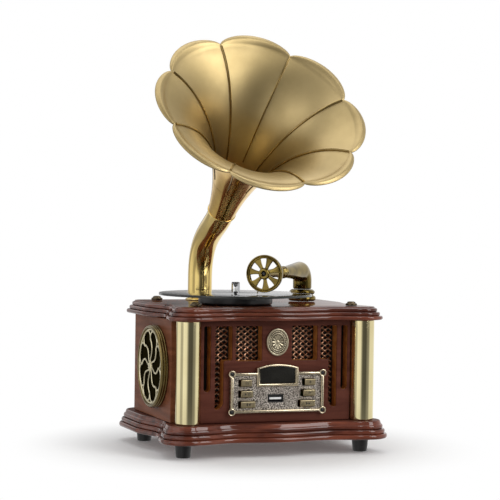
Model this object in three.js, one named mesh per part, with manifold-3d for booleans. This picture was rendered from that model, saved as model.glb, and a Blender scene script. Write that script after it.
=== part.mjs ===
import * as THREE from 'three';
import { mergeVertices } from 'three/addons/utils/BufferGeometryUtils.js';
import Module from 'manifold-3d';

const wasm = await Module();
wasm.setup();

// A small horn gramophone: a moulded wooden cabinet with a turning glass disc, a brass horn
// on a bent stem and a tone arm that ends in a spoked wheel.
// Millimetres. +X is right as seen from the front, -Y is the front, +Z is up.
// The cabinet is drawn round its own centre, and the last lines move the whole group so that
// the origin lies at the bottom centre of the object's box.

// Driving dimensions
const gap = 0.3;
const overrun = 2;

const foot = {
  topRadius: 8.2, bottomRadius: 6.5, height: 12.8, edge: 1.2, insetX: 22, insetY: 27, steps: 14,
};

const base = {
  width: 210, depth: 168, height: 15.7, cornerRadius: 21.4,
  recess: 6.5, crest: 1, step: 2, bulge: 1.3, beadHeight: 4.1,
};
const slabInset = { side: 5.5, front: 3.5 };
const slab = {
  width: base.width - 2 * slabInset.side, depth: base.depth - 2 * slabInset.front,
  height: 11.5, cornerRadius: 18, recess: 6.5, crest: 1, step: 2.5, bulge: 1.3, beadHeight: 3.4,
};
const corner = { overturn: Math.PI / 8, steps: 8, backSteps: 5 };
const wave = { recessShare: 0.42, sideEnd: 20, steps: 6 };
const bead = { count: 3, steps: 3 };

const bodyInset = { side: 11.8, front: 21.6, back: 26.6 };
const body = {
  height: 88.6, halfWidth: base.width / 2 - bodyInset.side,
  front: bodyInset.front - base.depth / 2, back: base.depth / 2 - bodyInset.back,
};
const panel = { frontThickness: 10, sideThickness: 8, backThickness: 6 };
const pillarInset = { side: 12, front: 0.4 };
const pillar = {
  radius: 10.8, x: body.halfWidth - pillarInset.side, y: body.front + pillarInset.front, steps: 24,
};

const slot = { width: 6, top: 5, height: 56.4, x: 64.1, roundSteps: 5 };
const hook = {
  width: 15.4, height: 29.6, top: 5, x: 49.1, legWidth: 7.6, legHeight: 42, tipRise: 4, fillet: 1.6,
};
const louvre = { width: 24.2, height: 30.2, top: 5, x: 26.1, fillet: 2 };
const net = { thickness: 1, pitch: 5, strand: 1.5, border: 1.6 };

const grille = { y: -8.9, z: 45.6, radius: 36.4, bore: 33.6, stand: 6.6, steps: 32, lip: 1 };
const rosette = {
  petals: 8, thickness: 2, recess: 0.4, rim: 1.6, hubRadius: 4.4, hubStand: 1.2, swirl: -0.17,
  web: 2, petalSteps: 4, petalEnd: 0.7, endSteps: 3,
};
const cloth = { thickness: 1 };
const speaker = {
  way: 30.6, flange: 33.5, flangeThickness: 2, depth: 24, coneRadius: 27, magnetRadius: 15, steps: 20,
  magnetShare: 0.4, capShare: 0.3,
};

const plate = { halfWidth: 43.6, z: 8.3, height: 35.2, thickness: 2 };
const frame = { bar: 2.6, height: 1.4, ringRadius: 3.6, holeRadius: 2, inset: 1.2, ringSteps: 12 };
const arch = { halfWidth: 19.3, z: 31.1, shoulder: 16.6, rise: 3, rim: 2.6, steps: 6 };
const keyWay = { margin: 1.4 };
const windowGlass = { thickness: 1.6 };
const screw = { headRadius: 1.7, headHeight: 1, shankRadius: 1.1, length: 8, steps: 12 };
const button = {
  height: 5.4, stand: 2.3, clearance: 0.4, flange: 0.8, flangeThickness: 1.2, recess: 1.6, travel: 1.2,
};
const leftButtons = { edge: -34.2, widths: [9.8, 10.8, 13.2] };
const rightButtons = { edge: 35, widths: [9.8, 11.2, 13.8] };
const buttonRowShares = [0.745, 0.475, 0.215];
const usb = {
  x: -1.6, z: 20.7, width: 13.7, height: 6.2, wall: 0.6, stand: 0.6,
  tongueHeight: 1.9, tongueDepth: 9, floor: 1.5,
};
const medallion = { z: 69.6, radiusX: 10.2, radiusZ: 12, thickness: 2.2, steps: 28, bossShare: 0.62 };
const controlBoard = { halfWidth: 41, thickness: 1.6, margin: 1 };
const mainBoard = {
  width: 92, depth: 54, thickness: 1.6, y: 6, standoffRadius: 3, standoffHeight: 6, inset: 6,
  chipWidth: 22, chipHeight: 5, postSteps: 12,
};
const jackPlate = { width: 46, height: 24, thickness: 1.6, z: 14 };
const dcSocket = { radius: 4.6, bore: 3.1, pinRadius: 1, depth: 11, stand: 1.2, floor: 1.5, steps: 16 };

const cap = { radius: 5.3, height: 3.8, edge: 1.2, insetX: 26.5, insetY: 24.5, steps: 14 };

const disc = { x: -24.5, y: -22, radius: 68, thickness: 2, edge: 0.5, steps: 48 };
const platter = { radius: 32.9, height: 7.4, shaftRadius: 2.5, shaftLength: 18, play: 0.4, steps: 32 };
const spindle = { radius: 3.8, height: 9.6, neck: 2.6, steps: 12, pinRadius: 1.4, pinLength: 1.2 };
const motor = { radius: 13, height: 17, boreDepth: 8, steps: 20 };

const stem = {
  x: -30.5, y: 58.5, radius: 11.2, endRadius: 11.9, wall: 1.4, straight: 20.5,
  leaveLength: 42, meetLength: 28, bendSteps: 10, steps: 16,
};
const flange = { radius: 13.4, height: 1.6, edge: 0.5, steps: 20 };
const horn = {
  rise: 166.75, reach: 153.5, tilt: 41.4, length: 127, mouthRadius: 81.3, throatRadius: 11.2,
  wall: 1.4, petals: 8, turn: 12.8, swell: 1.8, lip: 9.9, lipRise: 3.6,
  steps: 6, neckSteps: 3, bellSteps: 7, lipSteps: 2, neckShare: 0.25,
};
const hornCurve = { throatLength: 51.3, throatFlare: 4.2, mouthLength: 14.3, mouthRadius: 36.6 };
const hornRing = { radius: 13.9, width: 2.4, edge: 0.3, steps: 20 };

const arm = {
  x: 61.8, y: 32, z: 28.4, length: 109.5, heading: 40, columnRadius: 8.7, neckRadius: 4.8,
  bendRadius: 10, taperLength: 56, bendSteps: 6, steps: 16,
};
const armBase = {
  height: 10.9, footRadius: 12.9, footHeight: 5, waistRadius: 10.2, collarRadius: 12, steps: 20,
};
const armCollar = { radius: 5.6, length: 13, grooveDepth: 0.9, steps: 12 };
const armNeck = { rootRadius: 4.3, radius: 3.4 };
const wheel = {
  radius: 16.5, rim: 2.5, spokes: 7, hubRadius: 4.4, hubLength: 6.6, spokeRoot: 1.5, spokeTip: 3.7,
  spokeThickness: 2.4, firstSpoke: 18, rimSteps: 28, rimSides: 6, hubSteps: 14,
  screwBore: 2.1, boreDepth: 3,
};
const hubScrew = { radius: 1.8, length: 2.2, steps: 12 };
const stylus = { radius: 0.6, angle: 22, steps: 8 };

// Levels and places that follow from the sizes above
const underside = foot.height + gap;
const cabinetFloor = underside + base.height;
const panelBottom = cabinetFloor + gap;
const panelTop = panelBottom + body.height;
const slabBottom = panelTop + gap;
const tableTop = slabBottom + slab.height;
const panelBack = body.front + panel.frontThickness;
const boardFront = panelBack + gap;
const sideInner = body.halfWidth - panel.sideThickness;
const platterBottom = tableTop + platter.play;
const discBottom = platterBottom + platter.height + gap;
const discTop = discBottom + disc.thickness;
const armHeight = tableTop + arm.z;
const hornTilt = THREE.MathUtils.degToRad(horn.tilt);
const armHeading = THREE.MathUtils.degToRad(arm.heading);
const xAxis = new THREE.Vector3(1, 0, 0);
const yAxis = new THREE.Vector3(0, 1, 0);
const zAxis = new THREE.Vector3(0, 0, 1);
const hornAxis = new THREE.Vector3(0, -Math.cos(hornTilt), Math.sin(hornTilt));
const hornUp = new THREE.Vector3(0, Math.sin(hornTilt), Math.cos(hornTilt));
const mouthCentre = new THREE.Vector3(stem.x, stem.y - horn.reach, tableTop + horn.rise);
const armAxis = new THREE.Vector3(-Math.sin(armHeading), -Math.cos(armHeading), 0);
const armSide = new THREE.Vector3().crossVectors(zAxis, armAxis);

const group = new THREE.Group();

function material(color, roughness, metalness) {
  return () => new THREE.MeshStandardMaterial({ color, roughness, metalness });
}

const finish = {
  glossWood: material(0x5e1f14, 0.2, 0),
  satinWood: material(0x5a2620, 0.42, 0),
  hornBrass: material(0xa08a4c, 0.36, 1),
  brightBrass: material(0xb59552, 0.22, 1),
  darkBrass: material(0x6f6238, 0.36, 1),
  champagne: material(0xb7a873, 0.3, 1),
  pewter: material(0x8c8680, 0.55, 1),
  copper: material(0x9a5a3a, 0.45, 1),
  black: material(0x141416, 0.5, 0),
  cloth: material(0x23200f, 0.95, 0),
  clear: material(0xcfd8d6, 0.05, 0),
  darkGlass: material(0x0b0b0d, 0.08, 0),
  board: material(0x1f5133, 0.6, 0),
  steel: material(0xb9bcc0, 0.3, 1),
  needle: material(0x4a4036, 0.4, 1),
};

function add(name, geometry, makeMaterial) {
  const mesh = new THREE.Mesh(geometry, makeMaterial());
  mesh.name = name;
  group.add(mesh);
}

// Geometry helpers
function signedVolume(geometry) {
  const p = geometry.attributes.position;
  const index = geometry.index;
  const a = new THREE.Vector3();
  const b = new THREE.Vector3();
  const c = new THREE.Vector3();
  let volume = 0;
  for (let i = 0; i < index.count; i += 3) {
    a.fromBufferAttribute(p, index.getX(i));
    b.fromBufferAttribute(p, index.getX(i + 1));
    c.fromBufferAttribute(p, index.getX(i + 2));
    volume += a.dot(b.cross(c));
  }
  return volume;
}

// One set of shared vertices, with the faces pointing out.
function closed(geometry) {
  geometry.deleteAttribute('normal');
  geometry.deleteAttribute('uv');
  const merged = mergeVertices(geometry);
  if (signedVolume(merged) < 0) {
    merged.setIndex([...merged.index.array].reverse());
  }
  return merged;
}

function toSolid(geometry) {
  const merged = closed(geometry);
  const mesh = new wasm.Mesh({
    numProp: 3,
    vertProperties: new Float32Array(merged.attributes.position.array),
    triVerts: new Uint32Array(merged.index.array),
  });
  return new wasm.Manifold(mesh);
}

function fromSolid(solid) {
  const mesh = solid.getMesh();
  const geometry = new THREE.BufferGeometry();
  geometry.setAttribute('position', new THREE.BufferAttribute(mesh.vertProperties, 3));
  geometry.setIndex(new THREE.BufferAttribute(mesh.triVerts, 1));
  return geometry;
}

function joined(...geometries) {
  return fromSolid(geometries.map(toSolid).reduce((whole, piece) => whole.add(piece)));
}

function cut(geometry, ...tools) {
  return fromSolid(tools.map(toSolid).reduce((whole, tool) => whole.subtract(tool), toSolid(geometry)));
}

function box(x0, x1, y0, y1, z0, z1) {
  const geometry = new THREE.BoxGeometry(x1 - x0, y1 - y0, z1 - z0);
  geometry.translate((x0 + x1) / 2, (y0 + y1) / 2, (z0 + z1) / 2);
  return geometry;
}

// A profile of [radius, height] pairs turned about +Z.
function turned(profile, steps) {
  const points = profile.map(([radius, height]) => new THREE.Vector2(radius, height));
  const geometry = new THREE.LatheGeometry(points, steps);
  geometry.rotateX(Math.PI / 2);
  return closed(geometry);
}

function turnedRing(profile, steps) {
  return turned([...profile, profile[0]], steps);
}

function cylinder(radius, z0, z1, steps) {
  return turned([[0, z0], [radius, z0], [radius, z1], [0, z1]], steps);
}

// Points an upright shape along an axis, with its foot at a place.
function aimed(geometry, axis, place) {
  const turn = new THREE.Quaternion().setFromUnitVectors(zAxis, axis);
  geometry.applyQuaternion(turn);
  geometry.translate(place.x, place.y, place.z);
  return geometry;
}

function extruded(shape, depth) {
  return new THREE.ExtrudeGeometry(shape, { depth, bevelEnabled: false, curveSegments: 1 });
}

// A shape drawn in X and Z, with its thickness along Y from its front face.
function frontPiece(shape, yFront, yBack) {
  const geometry = extruded(shape, yBack - yFront);
  const basis = new THREE.Matrix4().makeBasis(xAxis, zAxis, new THREE.Vector3(0, -1, 0));
  geometry.applyMatrix4(basis);
  geometry.translate(0, yBack, 0);
  return geometry;
}

// A shape drawn in Y and Z, with its thickness along X.
function sidePiece(shape, x0, x1) {
  const geometry = extruded(shape, x1 - x0);
  geometry.applyMatrix4(new THREE.Matrix4().makeBasis(yAxis, zAxis, xAxis));
  geometry.translate(x0, 0, 0);
  return geometry;
}

function rectangle(x0, x1, z0, z1) {
  return polygon([[x0, z0], [x1, z0], [x1, z1], [x0, z1]]);
}

function polygon(points) {
  return new THREE.Shape(points.map(([x, y]) => new THREE.Vector2(x, y)));
}

function circleShape(x, y, radius, steps) {
  return ellipseShape(x, y, radius, radius, steps);
}

function ellipseShape(x, y, radiusX, radiusY, steps) {
  const points = [];
  for (let i = 0; i < steps; i++) {
    const turn = (2 * Math.PI * i) / steps;
    points.push([x + radiusX * Math.cos(turn), y + radiusY * Math.sin(turn)]);
  }
  return polygon(points);
}

// Joins rings of equal count into a skin. A skin that doesn't close on itself gets end caps.
function skin(rings, closesOnItself) {
  const count = rings[0].length;
  const points = rings.flat();
  const index = [];
  const spans = closesOnItself ? rings.length : rings.length - 1;
  for (let i = 0; i < spans; i++) {
    const near = i * count;
    const far = ((i + 1) % rings.length) * count;
    for (let j = 0; j < count; j++) {
      const k = (j + 1) % count;
      index.push(near + j, near + k, far + k, near + j, far + k, far + j);
    }
  }
  if (!closesOnItself) {
    capRing(points, index, rings[0], 0, true);
    capRing(points, index, rings[rings.length - 1], (rings.length - 1) * count, false);
  }
  const geometry = new THREE.BufferGeometry();
  const coordinates = points.flatMap((p) => [p.x, p.y, p.z]);
  geometry.setAttribute('position', new THREE.Float32BufferAttribute(coordinates, 3));
  geometry.setIndex(index);
  return closed(geometry);
}

function capRing(points, index, ring, first, facesBack) {
  const middle = ring.reduce((sum, p) => sum.add(p), new THREE.Vector3()).divideScalar(ring.length);
  const centre = points.push(middle) - 1;
  for (let j = 0; j < ring.length; j++) {
    const here = first + j;
    const next = first + ((j + 1) % ring.length);
    index.push(...(facesBack ? [centre, next, here] : [centre, here, next]));
  }
}

// The circle round a point, in the plane of two directions.
function circleRing(centre, across, upward, radius, steps) {
  const ring = [];
  for (let i = 0; i < steps; i++) {
    const turn = (2 * Math.PI * i) / steps;
    ring.push(centre.clone()
      .addScaledVector(across, radius * Math.cos(turn))
      .addScaledVector(upward, radius * Math.sin(turn)));
  }
  return ring;
}

// Mouldings: two front turrets, waves between and beside them, and plain corners at the back

// How far in from a turret's edge a wave lies, at a share of the way from the turret to its crest.
function waveInset(share, recess, crest) {
  if (share < wave.recessShare) {
    return recess * 0.5 * (1 - Math.cos((Math.PI * share) / wave.recessShare));
  }
  const rest = (share - wave.recessShare) / (1 - wave.recessShare);
  return recess - (recess - crest) * 0.5 * (1 - Math.cos(Math.PI * rest));
}

function arcPoints(x, y, radius, first, last, steps) {
  const points = [];
  for (let i = 0; i <= steps; i++) {
    const turn = first + ((last - first) * i) / steps;
    points.push([x + radius * Math.cos(turn), y + radius * Math.sin(turn)]);
  }
  return points;
}

// The right half of the outline, from the middle of the front round to the middle of the back.
function halfOutline(halfWidth, halfDepth, radius, shape) {
  const x = halfWidth - radius;
  const y = halfDepth - radius;
  const edge = radius * (1 - Math.cos(corner.overturn));
  const turretSide = radius * Math.sin(corner.overturn);
  const points = [];
  for (let i = 0; i < wave.steps; i++) {
    const share = i / wave.steps;
    const inset = edge + waveInset(1 - share, shape.recess, shape.crest);
    points.push([(x - turretSide) * share, inset - halfDepth]);
  }
  const firstTurn = -Math.PI / 2 - corner.overturn;
  points.push(...arcPoints(x, -y, radius, firstTurn, corner.overturn, corner.steps));
  const sideStart = turretSide - y;
  for (let i = 1; i < wave.steps; i++) {
    const share = i / wave.steps;
    const inset = edge + waveInset(share, shape.recess, -edge);
    points.push([halfWidth - inset, sideStart + (wave.sideEnd - sideStart) * share]);
  }
  points.push(...arcPoints(x, y, radius, 0, Math.PI / 2, corner.backSteps));
  return points;
}

function mouldingRing(shape, inset, z) {
  const halfWidth = shape.width / 2 - inset;
  const halfDepth = shape.depth / 2 - inset;
  const right = halfOutline(halfWidth, halfDepth, shape.cornerRadius - inset, shape);
  const left = right.slice(1).reverse().map(([x, y]) => [-x, y]);
  return [...right, ...left].map(([x, y]) => new THREE.Vector3(x, y, z));
}

// Round beads step in from the bottom up, under a plain rounded top edge.
function moulding(shape, bottom) {
  const rings = [];
  for (let i = 0; i < bead.count; i++) {
    for (let j = 0; j <= bead.steps; j++) {
      const turn = (Math.PI * j) / bead.steps - Math.PI / 2;
      const inset = shape.step * i + shape.bulge * (1 - Math.cos(turn));
      const height = shape.beadHeight * (i + (1 + Math.sin(turn)) / 2);
      rings.push(mouldingRing(shape, inset, bottom + height));
    }
  }
  const topInset = shape.step * bead.count;
  const edge = shape.height - shape.beadHeight * bead.count;
  rings.push(mouldingRing(shape, topInset, bottom + shape.height - edge / 2));
  rings.push(mouldingRing(shape, topInset + edge / 2, bottom + shape.height));
  return skin(rings, false);
}

function makeBase() {
  add('base_moulding', moulding(base, underside), finish.glossWood);
}

function makeTopSlab() {
  const bore = platter.shaftRadius + gap;
  const shaftHole = cylinder(bore, slabBottom - overrun, tableTop + overrun, motor.steps);
  shaftHole.translate(disc.x, disc.y, 0);
  add('top_slab', cut(moulding(slab, slabBottom), shaftHole), finish.glossWood);
}

function cornerSigns() {
  return [['front_left', -1, -1], ['front_right', 1, -1], ['rear_left', -1, 1], ['rear_right', 1, 1]];
}

function makeFeet() {
  for (const [place, sideX, sideY] of cornerSigns()) {
    const geometry = turned([
      [0, 0], [foot.bottomRadius - foot.edge, 0], [foot.bottomRadius, foot.edge],
      [foot.topRadius, foot.height], [0, foot.height],
    ], foot.steps);
    const x = sideX * (base.width / 2 - foot.insetX);
    const y = sideY * (base.depth / 2 - foot.insetY);
    geometry.translate(x, y, 0);
    add(`foot_${place}`, geometry, finish.black);
  }
}

function makeTableCaps() {
  for (const [place, sideX, sideY] of cornerSigns()) {
    const geometry = turned([
      [0, 0], [cap.radius, 0], [cap.radius, cap.height - cap.edge],
      [cap.radius - cap.edge, cap.height], [0, cap.height],
    ], cap.steps);
    const x = sideX * (slab.width / 2 - cap.insetX);
    const y = sideY * (slab.depth / 2 - cap.insetY);
    geometry.translate(x, y, tableTop + gap);
    add(`table_cap_${place}`, geometry, finish.darkBrass);
  }
}

// Front panel openings, each drawn as a shape in X and Z. A side of -1 mirrors it to the left.
function slotShape(side) {
  const half = slot.width / 2;
  const top = panelTop - slot.top;
  const bottom = top - slot.height + half;
  const points = [[half, top], [-half, top]];
  for (let i = 0; i <= slot.roundSteps; i++) {
    const turn = Math.PI + (Math.PI * i) / slot.roundSteps;
    points.push([half * Math.cos(turn), bottom + half * Math.sin(turn)]);
  }
  return polygon(points.map(([x, z]) => [side * (slot.x + x), z]));
}

function hookShape(side) {
  const inner = hook.x - hook.width / 2;
  const outer = hook.x + hook.width / 2;
  const legInner = outer - hook.legWidth;
  const top = panelTop - hook.top;
  const bottom = top - hook.height;
  const legBottom = bottom - hook.legHeight;
  const points = [
    [outer, top], [inner, top], [inner, bottom + hook.fillet], [inner + hook.fillet, bottom],
    [legInner - hook.fillet, bottom], [legInner, bottom - hook.fillet],
    [legInner, legBottom + hook.tipRise], [legInner + hook.legWidth / 2, legBottom],
    [outer - hook.fillet, legBottom], [outer, legBottom + hook.fillet],
  ];
  return polygon(points.map(([x, z]) => [side * x, z]));
}

function louvreShape(side) {
  const top = panelTop - louvre.top;
  const bottom = top - louvre.height;
  const half = louvre.width / 2;
  const points = [
    [half, top], [-half, top], [-half, bottom + louvre.fillet], [louvre.fillet - half, bottom],
    [half - louvre.fillet, bottom], [half, bottom + louvre.fillet],
  ];
  return polygon(points.map(([x, z]) => [side * (louvre.x + x), z]));
}

function panelTool(shape) {
  return frontPiece(shape, body.front - overrun, panelBack + overrun);
}

// The way through the front panel behind one column of keys.
function keyWayShape(side) {
  const keys = buttonPlaces().filter((place) => place.side === side);
  const reach = button.flange + keyWay.margin;
  const left = Math.min(...keys.map((key) => key.x - key.width / 2)) - reach;
  const right = Math.max(...keys.map((key) => key.x + key.width / 2)) + reach;
  const low = Math.min(...keys.map((key) => key.z)) - button.height / 2 - reach;
  const high = Math.max(...keys.map((key) => key.z)) + button.height / 2 + reach;
  return rectangle(left, right, low, high);
}

function makeFrontPanel() {
  const half = pillar.x - pillar.radius - gap;
  const blank = box(-half, half, body.front, panelBack, panelBottom, panelTop);
  const tools = [-1, 1].flatMap((side) => [slotShape(side), hookShape(side), louvreShape(side)]);
  tools.push(keyWayShape(-1), keyWayShape(1), usbOutline(gap));
  for (const side of [-1, 1]) {
    for (const z of screwHeights()) {
      tools.push(circleShape(side * screwX(), z, screw.shankRadius + gap, screw.steps));
    }
  }
  add('front_panel', cut(blank, ...tools.map(panelTool)), finish.satinWood);
}

function makeSidePanel(side, name) {
  const front = pillar.y + pillar.radius + gap;
  const hole = circleShape(grille.y, panelBottom + grille.z, speaker.way, grille.steps);
  const shape = rectangle(front, body.back, panelBottom, panelTop);
  shape.holes.push(hole);
  const inner = side * sideInner;
  const outer = side * body.halfWidth;
  add(name, closed(sidePiece(shape, Math.min(inner, outer), Math.max(inner, outer))), finish.satinWood);
}

function makeBackPanel() {
  const half = sideInner - gap;
  const front = body.back - panel.backThickness;
  const shape = rectangle(-half, half, panelBottom, panelTop);
  shape.holes.push(circleShape(0, jackHeight(), dcSocket.radius + gap, dcSocket.steps));
  add('back_panel', closed(frontPiece(shape, front, body.back)), finish.satinWood);
}

function makePillar(side, name) {
  const geometry = cylinder(pillar.radius, panelBottom, panelTop, pillar.steps);
  geometry.translate(side * pillar.x, pillar.y, 0);
  add(name, geometry, finish.champagne);
}

// The woven screen behind the openings of one side, with its gaps only where it shows.
function netGaps(shape) {
  const outline = shape.getPoints();
  const xs = outline.map((p) => p.x);
  const zs = outline.map((p) => p.y);
  const low = Math.min(...zs);
  const left = Math.min(...xs);
  const half = (net.pitch - net.strand) / 2;
  const columns = Math.max(1, Math.round((Math.max(...xs) - left) / net.pitch));
  const rows = Math.max(1, Math.round((Math.max(...zs) - low) / net.pitch));
  const gaps = [];
  for (let i = 0; i < columns; i++) {
    for (let j = 0; j < rows; j++) {
      const x = left + (i + 0.5) * ((Math.max(...xs) - left) / columns);
      const z = low + (j + 0.5) * ((Math.max(...zs) - low) / rows);
      if (insideOutline(x, z, outline)) {
        gaps.push(polygon([[x - half, z], [x, z - half], [x + half, z], [x, z + half]]));
      }
    }
  }
  return gaps;
}

function insideOutline(x, z, outline) {
  let inside = false;
  outline.forEach((a, i) => {
    const b = outline[(i + 1) % outline.length];
    if (a.y > z !== b.y > z && x < ((b.x - a.x) * (z - a.y)) / (b.y - a.y) + a.x) {
      inside = !inside;
    }
  });
  return inside;
}

function makeNet(side, name) {
  const outer = slot.x + slot.width / 2 + net.border;
  const inner = louvre.x - louvre.width / 2 - net.border;
  const legInner = hook.x + hook.width / 2 - hook.legWidth - net.border;
  const top = panelTop - hook.top + net.border;
  const middle = panelTop - louvre.top - louvre.height - net.border;
  const bottom = panelTop - hook.top - hook.height - hook.legHeight - net.border;
  const points = [
    [outer, top], [inner, top], [inner, middle],
    [legInner, middle], [legInner, bottom], [outer, bottom],
  ];
  const shape = polygon(points.map(([x, z]) => [side * x, z]));
  shape.holes.push(...netGaps(hookShape(side)), ...netGaps(louvreShape(side)));
  const front = panelBack + gap;
  add(name, closed(frontPiece(shape, front, front + net.thickness)), finish.copper);
}

// Speaker grilles on the two sides, drawn upright and then aimed outwards
function placeOnSide(geometry, side) {
  const face = new THREE.Vector3(side * (body.halfWidth + gap), grille.y, panelBottom + grille.z);
  return aimed(geometry, new THREE.Vector3(side, 0, 0), face);
}

function bezelGeometry() {
  const { radius, bore, stand, lip } = grille;
  return turnedRing([
    [bore, 0], [radius, 0], [radius, stand - lip], [radius - lip, stand], [bore, stand],
  ], grille.steps);
}

function petalPoint(share, turn, spread) {
  const inner = rosette.hubRadius + rosette.web;
  const outer = grille.bore - gap - rosette.rim;
  const radius = inner + (outer - inner) * share;
  const angle = turn + rosette.swirl * Math.sin(Math.PI * share) + spread;
  return [radius * Math.cos(angle), radius * Math.sin(angle)];
}

// How far out along a petal each step of its side lies, and how wide the petal is there.
function petalSteps() {
  const steps = [];
  for (let i = 0; i < rosette.petalSteps; i++) {
    steps.push({ share: (rosette.petalEnd * i) / rosette.petalSteps, width: 1 });
  }
  for (let i = 0; i < rosette.endSteps; i++) {
    const turn = (Math.PI * i) / (2 * rosette.endSteps);
    steps.push({ share: rosette.petalEnd + (1 - rosette.petalEnd) * Math.sin(turn), width: Math.cos(turn) });
  }
  return steps;
}

// A petal opening: its two sides swirl out from the hub and meet in a round end.
function petalShape(turn) {
  const inner = rosette.hubRadius + rosette.web;
  const outer = grille.bore - gap - rosette.rim;
  const side = (sign) => petalSteps().map(({ share, width }) => {
    const radius = inner + (outer - inner) * share;
    const spread = (Math.PI / rosette.petals - rosette.web / (2 * radius)) * width;
    return petalPoint(share, turn, sign * spread);
  });
  return polygon([...side(-1), petalPoint(1, turn, 0), ...side(1).reverse()]);
}

function rosetteGeometry() {
  const shape = circleShape(0, 0, grille.bore - gap, grille.steps);
  for (let i = 0; i < rosette.petals; i++) {
    shape.holes.push(petalShape((2 * Math.PI * (i + 0.5)) / rosette.petals));
  }
  const bottom = grille.stand - rosette.recess - rosette.thickness;
  const disk = extruded(shape, rosette.thickness);
  disk.translate(0, 0, bottom);
  const hubTop = grille.stand - rosette.recess + rosette.hubStand;
  const hub = turned([
    [0, bottom], [rosette.hubRadius, bottom], [rosette.hubRadius, hubTop - rosette.hubStand],
    [rosette.hubRadius / 2, hubTop], [0, hubTop],
  ], cap.steps);
  return joined(disk, hub);
}

function clothGeometry() {
  const top = grille.stand - rosette.recess - rosette.thickness - gap;
  return cylinder(grille.bore - gap, top - cloth.thickness, top, grille.steps);
}

function speakerGeometry() {
  const { flange: rim, flangeThickness, depth, coneRadius, magnetRadius } = speaker;
  const neck = magnetRadius + flangeThickness;
  const magnetTop = depth * (1 - speaker.magnetShare);
  return turned([
    [0, -depth], [magnetRadius, -depth], [magnetRadius, -magnetTop], [neck, -magnetTop],
    [rim - flangeThickness, -flangeThickness], [rim, -flangeThickness], [rim, 0], [coneRadius, 0],
    [magnetRadius / 2, -depth * speaker.magnetShare], [0, -depth * speaker.capShare],
  ], speaker.steps);
}

function makeSideFittings(side, word) {
  add(`${word}_grille_bezel`, placeOnSide(bezelGeometry(), side), finish.darkBrass);
  add(`${word}_grille_rosette`, placeOnSide(rosetteGeometry(), side), finish.darkBrass);
  add(`${word}_grille_cloth`, placeOnSide(clothGeometry(), side), finish.cloth);
  const inside = new THREE.Vector3(side * (sideInner - gap), grille.y, panelBottom + grille.z);
  const speakerSolid = aimed(speakerGeometry(), new THREE.Vector3(side, 0, 0), inside);
  add(`${word}_speaker`, speakerSolid, finish.black);
}

// Control plate on the front panel
function plateFront() {
  return body.front - gap - plate.thickness;
}

function screwX() {
  return plate.halfWidth - frame.inset;
}

function screwHeights() {
  const low = panelBottom + plate.z;
  return [low + frame.inset, low + plate.height - frame.inset];
}

// The arched outline of the display, drawn in by an inset.
function archShape(inset) {
  const half = arch.halfWidth - inset;
  const low = panelBottom + arch.z + inset;
  const shoulder = panelBottom + arch.z + arch.shoulder - inset / 2;
  const points = [[-half, low], [half, low]];
  for (let i = 0; i <= arch.steps; i++) {
    const across = 1 - (2 * i) / arch.steps;
    points.push([half * across, shoulder + (arch.rise - inset / 4) * (1 - across * across)]);
  }
  return polygon(points);
}

function buttonPlaces() {
  const places = [];
  buttonRowShares.forEach((share, row) => {
    const z = panelBottom + plate.z + plate.height * share;
    for (const [word, side, column] of [['left', -1, leftButtons], ['right', 1, rightButtons]]) {
      const width = column.widths[row];
      const x = column.edge - (side * width) / 2;
      places.push({ name: `${word}_${row + 1}`, side, x, z, width });
    }
  });
  return places;
}

function buttonHole(place) {
  const half = place.width / 2 + button.clearance;
  const tall = button.height / 2 + button.clearance;
  return rectangle(place.x - half - button.recess, place.x + half, place.z - tall, place.z + tall);
}

function usbOutline(grow) {
  const half = usb.width / 2 + grow;
  const tall = usb.height / 2 + grow;
  const z = panelBottom + usb.z;
  return rectangle(usb.x - half, usb.x + half, z - tall, z + tall);
}

function ringCentres() {
  return [-1, 1].flatMap((side) => screwHeights().map((z) => [side * screwX(), z]));
}

function makeControlPlate() {
  const low = panelBottom + plate.z;
  const front = plateFront();
  const back = body.front - gap;
  const pieces = [rectangle(-plate.halfWidth, plate.halfWidth, low, low + plate.height), archShape(0)];
  ringCentres().forEach(([x, z]) => pieces.push(circleShape(x, z, frame.ringRadius, frame.ringSteps)));
  const whole = joined(...pieces.map((shape) => frontPiece(shape, front, back)));
  const holes = buttonPlaces().map(buttonHole);
  holes.push(usbOutline(gap), archShape(arch.rim));
  ringCentres().forEach(([x, z]) => holes.push(circleShape(x, z, screw.shankRadius + gap, screw.steps)));
  const tools = holes.map((shape) => frontPiece(shape, front - overrun, back + overrun));
  add('control_plate', cut(whole, ...tools), finish.pewter);
}

function makePlateFrame() {
  const low = panelBottom + plate.z;
  const high = low + plate.height;
  const back = plateFront() - gap;
  const front = back - frame.height;
  const edge = plate.halfWidth;
  const solid = (shape) => frontPiece(shape, front, back);
  const tool = (shape) => frontPiece(shape, front - overrun, back + overrun);
  const rim = cut(
    solid(rectangle(-edge, edge, low, high)),
    tool(rectangle(frame.bar - edge, edge - frame.bar, low + frame.bar, high - frame.bar)),
  );
  const rings = ringCentres().map(([x, z]) => solid(circleShape(x, z, frame.ringRadius, frame.ringSteps)));
  const whole = joined(rim, solid(archShape(0)), ...rings);
  const holes = ringCentres().map(([x, z]) => tool(circleShape(x, z, frame.holeRadius, frame.ringSteps)));
  add('plate_frame', cut(whole, tool(archShape(arch.rim)), ...holes), finish.champagne);
}

function makeDisplayWindow() {
  const front = plateFront();
  const shape = archShape(arch.rim + gap);
  add('display_window', closed(frontPiece(shape, front, front + windowGlass.thickness)), finish.darkGlass);
}

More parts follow.
